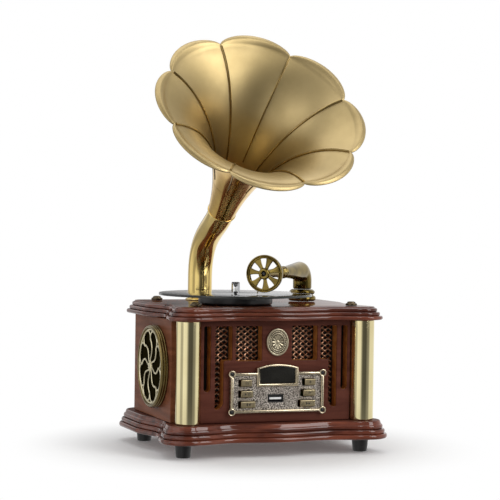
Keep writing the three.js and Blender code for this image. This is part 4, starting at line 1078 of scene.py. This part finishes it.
def make_plate_frame():
    box = Box("plate_frame")
    place = facing(box.low.y)
    shells = [plate([bar], box.size.y, FRAME_BEVEL, place, 6) for bar in frame_bars()]
    arch = [arch_outline(0), arch_outline(ARCH["rim"])]
    shells.append(plate(arch, box.size.y * 0.97, FRAME_BEVEL, place, 6))
    section = rectangle(RING_HOLE, RING_BEAD, 0, box.size.y)
    half, bottom, top = plate_rim()
    for x in (RING_INSET - half, half - RING_INSET):
        for z in (bottom + RING_INSET, top - RING_INSET):
            shells.append(turned(section, (x, box.high.y, z), FORWARD, 40, 0.65, closed=True))
    piece("brass_plate_frame", "plate_frame", (joined(shells), "frame_brass"))


def make_display():
    box = Box("display_window")
    shell = plate([arch_outline(ARCH["rim"] + GAP)], box.size.y, 0.3, facing(box.low.y))
    piece("display_glass_pane", "display_window", (shell, "display_glass"), crease=8)


def make_plate_screws():
    for node in nodes_named("plate_screw"):
        box = Box(node)
        radius = box.radius
        shank, long = PLATE_SCREW_SHANK
        profile = [
            (0, -long), (shank, -long), (shank, 0), (radius, 0), (radius, 0.5), (radius * 0.5, 0.95),
            (0, 0.98),
        ]
        head = turned(profile, (box.middle.x, box.low.y + 1, box.middle.z), FORWARD, 32, 0.25, 3)
        piece(f"black_{node}", node, (head, "satin_black"))


def arrow(x, way):
    return [(x, -1), (x + way * 1.5, 0), (x, 1)]


def bar(x, wide=0.45, tall=1.0):
    return rectangle(x - wide / 2, x + wide / 2, -tall, tall)


# Plain generic signs for the keys: bars and arrows
KEY_SIGNS = {
    "button_left_1": [bar(-0.6), bar(0.8)],
    "button_left_2": [arrow(-1.9, 1), bar(0.8), bar(1.9)],
    "button_left_3": [arrow(-0.4, -1), arrow(1.5, -1)],
    "button_right_1": [bar(0, 2.0, 0.28), bar(0, 0.5)],
    "button_right_2": [bar(0, 2.2, 0.28)],
    "button_right_3": [arrow(-1.5, 1), arrow(0.4, 1)],
}


def make_keys():
    for node in nodes_named("button_"):
        box = Box(node)
        outline = rounded(box.outline(-KEY_FLANGE), 0.5, 4)
        key = plate([outline], box.size.y, 0.55, facing(box.low.y), 5)
        signs = []
        for sign in KEY_SIGNS[node]:
            moved = [(box.middle.x + x * SIGN_SIZE, box.middle.z + z * SIGN_SIZE) for x, z in sign]
            signs.append(plate([moved], SIGN_THICKNESS, 0.02, facing(box.low.y - SIGN_THICKNESS / 2), 1))
        piece(node.replace("button", "key"), node, (key, "key_brass"), (joined(signs), "key_mark"),
              body=node, flat_faces=True)


def make_usb():
    box = Box("usb_socket")
    inside = rounded(box.outline(-USB_WALL), 0.3, 3)
    shell = plate([socket_outline(0), inside], box.size.y, 0.25, facing(box.low.y), 3)
    floor = plate([socket_outline(-USB_WALL - 0.05)], 0.5, 0.05, facing(box.low.y + USB_DEPTH), 1)
    sides = [box.low.x + 2 * USB_WALL, box.high.x - 2 * USB_WALL]
    half = USB_TONGUE["half"]
    tongue = rounded(rectangle(*sides, box.middle.z - half, box.middle.z + half), 0.3, 3)
    tongue_shell = plate([tongue], USB_TONGUE["length"], 0.3, facing(box.low.y + USB_TONGUE["behind"]), 3)
    piece("usb_shell", "usb_socket", (shell, "satin_black"), (floor, "satin_black"),
          (tongue_shell, "socket_tongue"), flat_faces=True)


MEDALLION_BEADS = 32
MEDALLION_FLUTES = 12


def flute_radius(share):
    """A flute of the fan swells towards the rim."""
    return 0.35 + 0.75 * share


def make_medallion():
    """A plain oval medallion: a rim, a ring of beads and a simple fan of flutes over dark ground."""
    box = Box("emblem_medallion")
    half_height = box.size.z / 2
    stand = box.size.y

    def layer(shares, front, thickness, bevel):
        outlines = [oval(box.middle.x, box.middle.z, box.radius * share, half_height * share, 56)
                    for share in shares]
        return plate(outlines, stand * thickness, bevel, facing(box.high.y - stand * front))

    def spot(turn, share, front):
        return Vector((box.middle.x + box.radius * share * math.cos(turn), box.high.y - stand * front,
                       box.middle.z + half_height * share * math.sin(turn)))

    ground = layer([0.97], 0.4, 0.4, 0.2)
    relief = [layer([1.0, 0.86], 0.75, 0.75, 0.4), layer([0.66, 0.57], 0.7, 0.4, 0.3)]
    for turn in round_turns(MEDALLION_BEADS):
        bead = [(0, 0), (0.68, 0.1), (0.55, 0.5), (0, 0.75)]
        relief.append(turned(bead, spot(turn, 0.76, 0.36), FORWARD, 12))
    for turn in round_turns(MEDALLION_FLUTES):
        ends = [spot(turn, share, 0.5) for share in (0.16, 0.33, 0.5)]
        relief.append(tube(ends, flute_radius, 10, flatness=0.6, flat_axis=FORWARD))
    boss = [(0, 0), (1.9, 0), (1.5, 0.9), (0, 1.1)]
    relief.append(turned(boss, spot(0, 0, 0.38), FORWARD, 28, 0.3))
    piece("oval_medallion", "emblem_medallion", (ground, "medallion_ground"),
          (joined(relief), "medallion_relief"))


# Turntable
DISC_HOLE = 1.7
DISC_EDGE = 0.7
MAT_RADII = (24, 31)
PLATTER_SHAFT = 2.5
PLATTER_PIN = 1.4


def make_turntable():
    box = Box("turntable_disc")
    axis_place = (box.middle.x, box.middle.y, 0)
    inner = box.radius - DISC_EDGE
    ring = rectangle(DISC_HOLE, inner, box.low.z, box.high.z)
    band = rectangle(inner + 0.02, box.radius, box.low.z, box.high.z)
    disc = turned(ring, axis_place, UP, 128, 0.3, 3, closed=True)
    edge = turned(band, axis_place, UP, 128, 0.3, 4, closed=True)
    piece("glass_disc", "turntable_disc", (disc, "clear_glass"), (edge, "glass_edge"), body="turntable")
    make_platter(axis_place, box.low.z - GAP)
    make_spindle_knob(axis_place)


def make_platter(axis_place, top):
    box = Box("turntable_platter")
    radius = box.radius
    bottom = TABLE + 0.4
    profile = [
        (0, box.low.z), (PLATTER_SHAFT, box.low.z), (PLATTER_SHAFT, bottom), (radius - 1, bottom),
        (radius, bottom + 1.2), (radius, top - 0.6), (radius - 0.6, top), (PLATTER_PIN, top),
        (PLATTER_PIN, box.high.z), (0, box.high.z),
    ]
    body = turned(profile, axis_place, UP, 112, 0.4, 3)
    mat = turned(rectangle(*MAT_RADII, top - 0.2, top + 0.12), axis_place, UP, 112, 0.1, 2, closed=True)
    piece("black_platter", "turntable_platter", (body, "satin_black"), (mat, "foot_black"), body="turntable")


def make_spindle_knob(axis_place):
    box = Box("spindle_knob")
    seat = box.low.z
    top = box.high.z
    radius = box.radius
    tall = box.size.z
    profile = [
        (DISC_HOLE, seat), (radius * 0.94, seat), (radius, seat + tall * 0.08),
        (radius * 0.98, seat + tall * 0.9), (radius * 0.86, top), (radius * 0.55, top - 0.3),
        (radius * 0.2, top - tall * 0.42), (0, top - tall * 0.5),
    ]
    pin = [(0, seat + 0.2), (1.2, seat + 0.2), (1, seat + tall * 0.38), (0, seat + tall * 0.42)]
    piece("crystal_knob", "spindle_knob", (turned(profile, axis_place, UP, 12, 0.25, 3), "crystal"),
          (turned(pin, axis_place, UP, 24, 0.2, 3), "plain_steel"), body="turntable", crease=20)


# Horn
STEM_RADIUS = 11.2
STEM_END_RADIUS = 11.9
STEM_WALL = 1.4
STEM_STRAIGHT = 20.5
STEM_LEAVE = 42.0
STEM_MEET = 28.0
HORN_RISE = 166.75
HORN_REACH = 153.5
HORN_TILT = math.radians(41.4)
HORN_LENGTH = 127.0
MOUTH_RADIUS = 81.3
THROAT_RADIUS = 11.2
THROAT_CURVE = (51.3, 4.2)
MOUTH_CURVE = (14.3, 36.6)
NECK_SHARE = 0.25
NECK_JOINT = 0.002
PETALS = 8
PETAL_TURN = 2 * math.pi / PETALS
FIRST_SEAM = math.pi / 2 + math.radians(12.8)
PETAL_SWELL = 1.8
LIP_OUT = 8.8
LIP_RISE = 3.6
LIP_CURL = 0.72
HORN_WALL = 1.4
PETAL_STEPS = 28
FLARE_STEPS = 34
LIP_STEPS = 10
NECK_STEPS = 16
SLOPE_REACH = 0.001
FIRST_NECK_SHARE = 0.0011
SEAM_RADIUS = 0.95
SEAM_LEVELS = (-0.45, HORN_WALL + 0.1)
SEAM_START = 0.3
SEAM_STEPS = 40
POLISHED_FROM = 44
STEM_RING_RADIUS = 13.3
STEM_RING_WIDTH = 1.6
STEM_RING_SINK = 0.9

STEM_FOOT = Vector((-30.5, 58.5, TABLE + GAP))
HORN_AXIS = Vector((0, -math.cos(HORN_TILT), math.sin(HORN_TILT)))
HORN_UP = Vector((0, math.sin(HORN_TILT), math.cos(HORN_TILT)))
MOUTH_CENTRE = Vector((STEM_FOOT.x, STEM_FOOT.y - HORN_REACH, TABLE + HORN_RISE))
FLARE = [
    Vector((HORN_LENGTH, THROAT_RADIUS)),
    Vector((HORN_LENGTH - THROAT_CURVE[0], THROAT_RADIUS + THROAT_CURVE[1])),
    Vector(MOUTH_CURVE), Vector((0, MOUTH_RADIUS)),
]


def on_horn_axis(back):
    return MOUTH_CENTRE - HORN_AXIS * back


def bezier(points, share):
    a, b, c, d = points
    rest = 1 - share
    return a * rest ** 3 + b * 3 * share * rest ** 2 + c * 3 * share ** 2 * rest + d * share ** 3


def petal_share(turn):
    """0 at a seam and 1 in the middle of a petal."""
    return math.sqrt(abs(math.sin(PETALS / 2 * (turn - FIRST_SEAM))))


def horn_point(turn, radius, back):
    across = Vector((math.cos(turn), 0, 0)) * radius
    return on_horn_axis(back) + across + HORN_UP * math.sin(turn) * radius


def flare_point(turn, share, behind):
    """A point at a share of the flare's length, behind its inside by a part of the wall."""
    here = bezier(FLARE, share)
    ahead = (bezier(FLARE, share + SLOPE_REACH) - bezier(FLARE, share - SLOPE_REACH)).normalized()
    swell = PETAL_SWELL * (here.y - THROAT_RADIUS) / (MOUTH_RADIUS - THROAT_RADIUS) * petal_share(turn)
    return horn_point(turn, here.y - behind * ahead.x + swell, here.x + behind * ahead.y)


def lip_point(turn, out, behind):
    """A point on a petal's curled lip, from the flare's end at 0 to the lip's edge at 1."""
    petal = petal_share(turn)
    rise = math.sin(out * math.pi * LIP_CURL) * LIP_RISE
    return horn_point(turn, MOUTH_RADIUS + (PETAL_SWELL + LIP_OUT * out) * petal, behind - rise * petal)


def horn_turns():
    """Angles round the horn, closer together near the seams."""
    shares = [(1 - math.cos(math.pi * i / PETAL_STEPS)) / 2 for i in range(PETAL_STEPS)]
    return [FIRST_SEAM + PETAL_TURN * (petal + share) for petal in range(PETALS) for share in shares]


def is_polished(middle, normal):
    """The bell's outside next to the neck."""
    from_mouth = middle - MOUTH_CENTRE
    back = -from_mouth.dot(HORN_AXIS)
    return back > POLISHED_FROM and normal.dot(from_mouth + HORN_AXIS * back) > 0


def make_bell():
    turns = horn_turns()
    start = NECK_SHARE + NECK_JOINT
    levels = [(flare_point, start + (1 - start) * i / FLARE_STEPS) for i in range(FLARE_STEPS + 1)]
    levels += [(lip_point, i / LIP_STEPS) for i in range(1, LIP_STEPS + 1)]
    rings = [[point(turn, share, 0) for turn in turns] for point, share in levels]
    rings += [[point(turn, share, HORN_WALL) for turn in turns] for point, share in levels[::-1]]
    rim = tube([lip_point(turn, 1, HORN_WALL / 2) for turn in turns], 0.85, 10, closed=True)
    bell = piece("petal_horn", "horn_bell", (ring_skin(rings, closed_along=True), "horn_brass"),
                 (rim, "horn_brass"), body="horn", crease=40)
    refinish(bell, "neck_brass", is_polished)


def seam_radius(share):
    """A seam's bead swells towards the horn's mouth."""
    return SEAM_RADIUS * (0.6 + 0.4 * share)


def make_seams():
    """A raised bead along each seam between petals, inside the horn, and a fold outside. Both take a darker
    brass, as painted shade along the seams.
    """
    shells = []
    for petal in range(PETALS):
        turn = FIRST_SEAM + PETAL_TURN * petal
        for level in SEAM_LEVELS:
            points = [flare_point(turn, SEAM_START + (1 - SEAM_START) * i / SEAM_STEPS, level)
                      for i in range(SEAM_STEPS + 1)]
            shells.append(tube(points, seam_radius, 10))
    piece("horn_seams", None, (joined(shells), "shaded_seam_brass"), body="horn")


def stem_rings(thinner, steps=56):
    """Rings up the bent stem, whose radius is less by a wall on its inside."""
    start = STEM_FOOT + UP * STEM_STRAIGHT
    end = on_horn_axis(HORN_LENGTH + GAP)
    curve = [start, start + UP * STEM_LEAVE, end - HORN_AXIS * STEM_MEET, end]
    spots = [(STEM_FOOT, UP, STEM_RADIUS)]
    for i in range(steps + 1):
        share = i / steps
        ahead = bezier(curve, min(1, share + 0.005)) - bezier(curve, max(0, share - 0.005))
        radius = STEM_RADIUS + (STEM_END_RADIUS - STEM_RADIUS) * share
        spots.append((bezier(curve, share), ahead.normalized(), radius))
    across = Vector((1, 0, 0))
    return [hoop(centre, across, ahead.cross(across), radius - thinner, 72)
            for centre, ahead, radius in spots]


def make_stem():
    rings = stem_rings(0) + stem_rings(STEM_WALL)[::-1]
    piece("bent_stem", "horn_stem", (ring_skin(rings, closed_along=True), "stem_brass"), body="horn")
    turns = horn_turns()
    levels = [max(FIRST_NECK_SHARE, NECK_SHARE * i / NECK_STEPS) for i in range(NECK_STEPS + 1)]
    neck = [[flare_point(turn, share, 0) for turn in turns] for share in levels]
    neck += [[flare_point(turn, share, HORN_WALL) for turn in turns] for share in levels[::-1]]
    piece("horn_neck_cone", "horn_neck", (ring_skin(neck, closed_along=True), "neck_brass"), body="horn")


def make_horn_ring():
    """The thin bead over the seam between the stem and the horn."""
    bore = STEM_END_RADIUS + HORN_WALL - STEM_RING_SINK
    half = STEM_RING_WIDTH / 2
    shoulder = STEM_RING_RADIUS - 0.3
    profile = [(bore, -half), (shoulder, -half), (STEM_RING_RADIUS, 0), (shoulder, half), (bore, half)]
    shell = turned(profile, on_horn_axis(HORN_LENGTH + GAP / 2), HORN_AXIS, 96, 0.4, closed=True)
    piece("stem_ring", "horn_ring", (shell, "stem_brass"), body="horn")


def make_stem_flange():
    box = Box("stem_flange")
    rise = box.size.z
    bore = STEM_RADIUS + GAP
    profile = [(bore, 0), (box.radius, 0), (box.radius, rise * 0.5), (bore + 0.6, rise), (bore, rise)]
    upright("stem_foot_ring", "stem_flange", "stem_brass", profile, 0.3, 3, 80, closed=True)


# Tone arm
ARM = {"length": 109.5, "column": 8.7, "neck": 4.8, "bend": 10.0, "taper": 56.0}
ARM_HEADING = math.radians(40)
ARM_AXIS = Vector((-math.sin(ARM_HEADING), -math.cos(ARM_HEADING), 0))
ARM_SIDE = UP.cross(ARM_AXIS)
ARM_ROOT = Vector((61.8, 32.0, TABLE + 28.4))
COLLAR_LENGTH = 13.0
WHEEL = {"radius": 16.5, "rim": 3.1, "spokes": 7, "hub_length": 6.6, "first": 18.0}


def on_arm(distance):
    return ARM_ROOT + ARM_AXIS * distance


def under_arm(node):
    return Vector((ARM_ROOT.x, ARM_ROOT.y, Box(node).low.z))


def make_tone_arm():
    def ring(centre, upward, radius):
        return hoop(centre, ARM_SIDE, upward, radius, 64)

    foot = under_arm("tone_arm")
    edge = ((7.9, 0), (8.5, 0.6), (ARM["column"], 1.4))
    rings = [ring(foot + UP * height, ARM_AXIS, radius) for radius, height in edge]
    centre = on_arm(ARM["bend"]) - UP * ARM["bend"]
    for i in range(19):
        turn = math.pi / 2 * i / 18
        outward = ARM_AXIS * -math.cos(turn) + UP * math.sin(turn)
        rings.append(ring(centre + outward * ARM["bend"], -outward, ARM["column"]))
    for i in range(1, 15):
        share = i / 14
        radius = ARM["column"] + (ARM["neck"] - ARM["column"]) * share
        rings.append(ring(on_arm(ARM["bend"] + (ARM["taper"] - ARM["bend"]) * share), -UP, radius))
    piece("bent_tone_arm", "tone_arm", (ring_skin(rings), "antique_brass"), body="arm")


def make_arm_base():
    rise = Box("arm_base").size.z
    cup = [(0, 0), (11.6, 0), (12.9, 1.2), (12.9, 3.0), (12.2, 4.6), (10.4, 5.4), (10.2, 6.0), (11.3, 6.7),
           (12.0, 7.8), (11.8, 9.2), (10.6, 10.2), (9.6, rise), (0, rise)]
    shell = turned(cup, under_arm("arm_base"), UP, 80, 0.9, 5)
    piece("turned_arm_base", "arm_base", (shell, "antique_brass"))


def make_arm_collar():
    neck_end = ARM["length"] - ARM["taper"] - WHEEL["hub_length"] / 2 - 2 * GAP
    profile = [
        (0, 0), (5.2, 0), (5.6, 0.6), (5.6, 2.4), (4.7, 3.0), (4.5, 4.0), (5.4, 4.6), (5.6, 6.0), (5.4, 7.4),
        (4.6, 8.0), (5.3, 8.7), (5.3, 10.2), (4.6, 11.0), (4.3, COLLAR_LENGTH), (4.2, COLLAR_LENGTH),
        (3.4, neck_end), (0, neck_end),
    ]
    shell = turned(profile, on_arm(ARM["taper"] + GAP), ARM_AXIS, 56, 0.35, 3)
    piece("ridged_arm_collar", "arm_collar", (shell, "antique_brass"), body="arm")


def spoke_outline():
    """One spoke along +X, narrow at the hub and flared with hollow sides at the rim."""
    start = 3.2
    end = WHEEL["radius"] - WHEEL["rim"] / 2
    side = [(start + (end - start) * i / 8, 1.35 + 2.6 * (i / 8) ** 2.2) for i in range(9)]
    return [(x, -y) for x, y in side] + side[::-1]


def wheel_rim():
    """The rim's section: an outer and an inner bead with a groove between them, front and back."""
    outside = WHEEL["radius"]
    inside = outside - WHEEL["rim"]
    front = [
        (inside, 1.5), (inside + 0.3, 2.1), (inside + 0.9, 2.2), (inside + 1.2, 1.0), (inside + 1.6, 0.9),
        (inside + 2.0, 2.2), (outside - 0.5, 2.3), (outside, 1.6),
    ]
    return [(radius, -depth) for radius, depth in front[::-1]] + front


def make_sound_wheel():
    centre = on_arm(ARM["length"])
    half = WHEEL["hub_length"] / 2
    hub = [
        (0, -half), (3.2, -half), (4.0, -half + 0.8), (4.8, -1.0), (5.2, 0.4), (5.1, 1.6), (4.8, 2.6),
        (4.2, half), (2.6, half), (2.1, half - 0.5), (2.1, half - 3), (0, half - 3),
    ]
    shells = [turned(wheel_rim(), centre, ARM_AXIS, 112, 0.25, 3, closed=True),
              turned(hub, centre, ARM_AXIS, 56, 0.3, 3)]
    for k in range(WHEEL["spokes"]):
        turn = math.radians(WHEEL["first"] + 360 / WHEEL["spokes"] * k)
        along = ARM_SIDE * math.cos(turn) + UP * math.sin(turn)
        across = UP * math.cos(turn) - ARM_SIDE * math.sin(turn)

        def place(x, y, depth, along=along, across=across):
            return centre + along * x + across * y + ARM_AXIS * (1.2 - depth)

        shells.append(plate([spoke_outline()], 2.2, 0.6, place))
    piece("spoked_sound_wheel", "sound_wheel", (joined(shells), "antique_brass"), body="sound_box")
    screw = [(0, 0.4), (1.8, 0.4), (1.8, 2.0), (1.3, 2.5), (0, 2.55)]
    head = turned(screw, centre, ARM_AXIS, 32, 0.25, 3)
    piece("hub_screw_head", "hub_screw", (head, "satin_black"), body="sound_box")


def make_needle():
    rise = Box("stylus").size.z
    profile = [(0, 0), (0.12, 0.1), (0.42, rise * 0.45), (0.58, rise * 0.5), (0.58, rise - 0.1), (0, rise)]
    upright("needle", "stylus", "antique_brass", profile, 0.08, 3, 20, body="sound_box")


def dress_inner_nodes():
    """The parts inside keep their own solids, with a finish of their own."""
    finishes = {
        "control_board": "circuit_board", "main_board": "circuit_board", "turntable_motor": "plain_steel",
        "left_speaker": "satin_black", "right_speaker": "satin_black",
    }
    for node, finish in finishes.items():
        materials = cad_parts[node].data.materials
        materials.clear()
        materials.append(FINISH[finish])


# Stage: a pale floor, the white surroundings and soft lamps
FLOOR_RADIUS = 0.28
FLOOR_FADE = (0.11, 0.22)
FLOOR_LIFT = 0.08
FLOOR_POINTS = 96
DIFFUSE_WORLD = 0.5

# How bright the room is all round, as the metal shows it. The angle is in degrees to the right of the
# camera as seen from the object, and 180 is the white backdrop.
ROOM_ROUND = [
    (-180, 0.6), (-175, 0.15), (-168, 0.3), (-158, 0.85), (-150, 0.85), (-139, 0.4), (-124, 0.45),
    (-114, 0.9), (-80, 0.9), (-69, 0.45), (-50, 0.5), (-43, 1.0), (-14, 0.9), (-3, 0.35), (6, 0.1),
    (38, 0.08), (48, 0.22), (66, 0.3), (80, 0.85), (126, 0.85), (150, 0.95), (168, 1.0), (175, 1.0),
    (180, 0.6),
]
ROOM_OVER = 0.35
ROOM_EVENNESS = 0.7
ROOM_RISE = (0.12, 0.45)
BACKDROP_EDGE = (-0.7, -0.3)
LAMP_AIM = Vector((0, 0, 0.15))
LAMPS = {
    "key": {"azimuth": 35, "elevation": 28, "distance": 1.6, "width": 0.7, "height": 1.4, "power": 14},
    "left": {"azimuth": -80, "elevation": 25, "distance": 1.5, "width": 1.2, "height": 1.2, "power": 3.5},
    "top": {"azimuth": 180, "elevation": 80, "distance": 1.3, "width": 1.2, "height": 1.2, "power": 5},
}


def grey(level):
    return (level, level, level, 1)


def light_path_mask(nodes):
    """1 for rays from the camera, and for those that mirrors and glass send on."""
    path = nodes.add("LightPath").outputs
    mask = nodes.math("MAXIMUM", path["Is Camera Ray"], path["Is Glossy Ray"])
    return nodes.math("MAXIMUM", mask, path["Is Transmission Ray"])


def draw_pale_floor(nodes):
    return [nodes.mix(nodes.noise(nodes.place(), 300, 3), grey(0.86), grey(0.84))]


def make_floor():
    mesh = bpy.data.meshes.new("floor")
    rim = [(x, y, 0) for x, y in oval(CENTRE_X, CENTRE_Y, FLOOR_RADIUS, FLOOR_RADIUS, FLOOR_POINTS)]
    mesh.from_pydata(rim, [], [tuple(range(FLOOR_POINTS))])
    floor = in_scene("floor", mesh)
    plain = {"Roughness": 0.6, "Specular_IOR_Level": 0.2}
    material, nodes, shader = new_finish("pale_floor", None, draw_pale_floor, **plain)
    distance = nodes.vectors("DISTANCE", nodes.place(), (CENTRE_X, CENTRE_Y, 0))["Value"]
    seen = light_path_mask(nodes)
    far_and_seen = nodes.math("MULTIPLY", nodes.ramp(distance, *FLOOR_FADE), seen)
    glow = nodes.add("Emission", {"Color": WHITE, "Strength": 1.0}).outputs[0]
    lift = nodes.add("Emission", {"Color": WHITE, "Strength": nodes.math("MULTIPLY", seen, FLOOR_LIFT)})
    lifted = nodes.add("AddShader", {0: shader.outputs[0], 1: lift.outputs[0]}).outputs[0]
    mix = nodes.add("MixShader", {0: far_and_seen, 1: lifted, 2: glow}).outputs[0]
    nodes.link(mix, material.node_tree.nodes["Material Output"].inputs["Surface"])
    mesh.materials.append(material)
    # The metal shows the room's walls down to its floor, as the polished pillars need
    floor.visible_glossy = False
    floor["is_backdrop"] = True


def room_colour(nodes):
    """The room's brightness by direction: bright and dark walls, and an even ceiling."""
    direction = nodes.add("TexCoord").outputs["Generated"]
    turn = math.radians(CAMERA_AZIMUTH)
    across = nodes.vectors("DOT_PRODUCT", direction, (math.cos(turn), math.sin(turn), 0))["Value"]
    near = nodes.vectors("DOT_PRODUCT", direction, (math.sin(turn), -math.cos(turn), 0))["Value"]
    whole_turn = {"Value": nodes.math("ARCTAN2", across, near), "From Min": -math.pi, "From Max": math.pi}
    ramp = nodes.add("ValToRGB", {"Fac": nodes.add("MapRange", whole_turn).outputs["Result"]})
    stops = ramp.color_ramp.elements
    stops[0].color = grey(ROOM_ROUND[0][1])
    stops[1].color = grey(ROOM_ROUND[-1][1])
    for degrees, level in ROOM_ROUND[1:-1]:
        stops.new((degrees + 180) / 360).color = grey(level)
    height = nodes.add("SeparateXYZ", {0: direction}).outputs["Z"]
    away = nodes.math("MULTIPLY", nodes.ramp(nodes.math("ABSOLUTE", height), *ROOM_RISE), ROOM_EVENNESS)
    dim = nodes.math("MULTIPLY", away, nodes.ramp(near, *BACKDROP_EDGE))
    return nodes.mix(dim, ramp.outputs["Color"], grey(ROOM_OVER))


def make_world():
    world = bpy.data.worlds.new("studio")
    world.use_nodes = True
    nodes = Nodes(world.node_tree)
    glossy = nodes.add("LightPath").outputs["Is Glossy Ray"]
    mirrored_room = nodes.mix(glossy, WHITE, room_colour(nodes))
    colour = nodes.mix(light_path_mask(nodes), grey(DIFFUSE_WORLD), mirrored_room)
    nodes.link(colour, world.node_tree.nodes["Background"].inputs["Color"])
    bpy.context.scene.world = world


def make_lamp(name, azimuth, elevation, distance, width, height, power):
    """A soft square lamp that looks at the middle of the object."""
    data = bpy.data.lights.new(name, "AREA")
    data.shape = "RECTANGLE"
    data.size = width
    data.size_y = height
    data.energy = power
    away = direction_to(azimuth, elevation) * distance
    lamp = in_scene(name, data)
    lamp.location = LAMP_AIM + away
    lamp.rotation_euler = (-away).to_track_quat("-Z", "Y").to_euler()


make_camera()
make_moulding("waved_base", "base_moulding", BASE_SHAPE, "satin_mahogany")
make_moulding("waved_table", "top_slab", SLAB_SHAPE, "table_mahogany")
make_front_panel()
for word, side in SIDES.items():
    make_side_panel(word, side)
make_back()
make_rear_inlet()
make_round_fittings()
make_nets()
for word, side in SIDES.items():
    make_grille(word, side)
make_control_plate()
make_plate_frame()
make_display()
make_plate_screws()
make_keys()
make_usb()
make_medallion()
make_turntable()
make_stem_flange()
make_stem()
make_horn_ring()
make_bell()
make_seams()
make_arm_base()
make_tone_arm()
make_arm_collar()
make_sound_wheel()
make_needle()
dress_inner_nodes()
make_floor()
make_world()
for name, values in LAMPS.items():
    make_lamp(name, **values)
bpy.context.scene.view_settings.view_transform = "Standard"

for corners in (cad_bounds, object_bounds()):
    json.dumps([list(corner) for corner in corners]) + "\n"
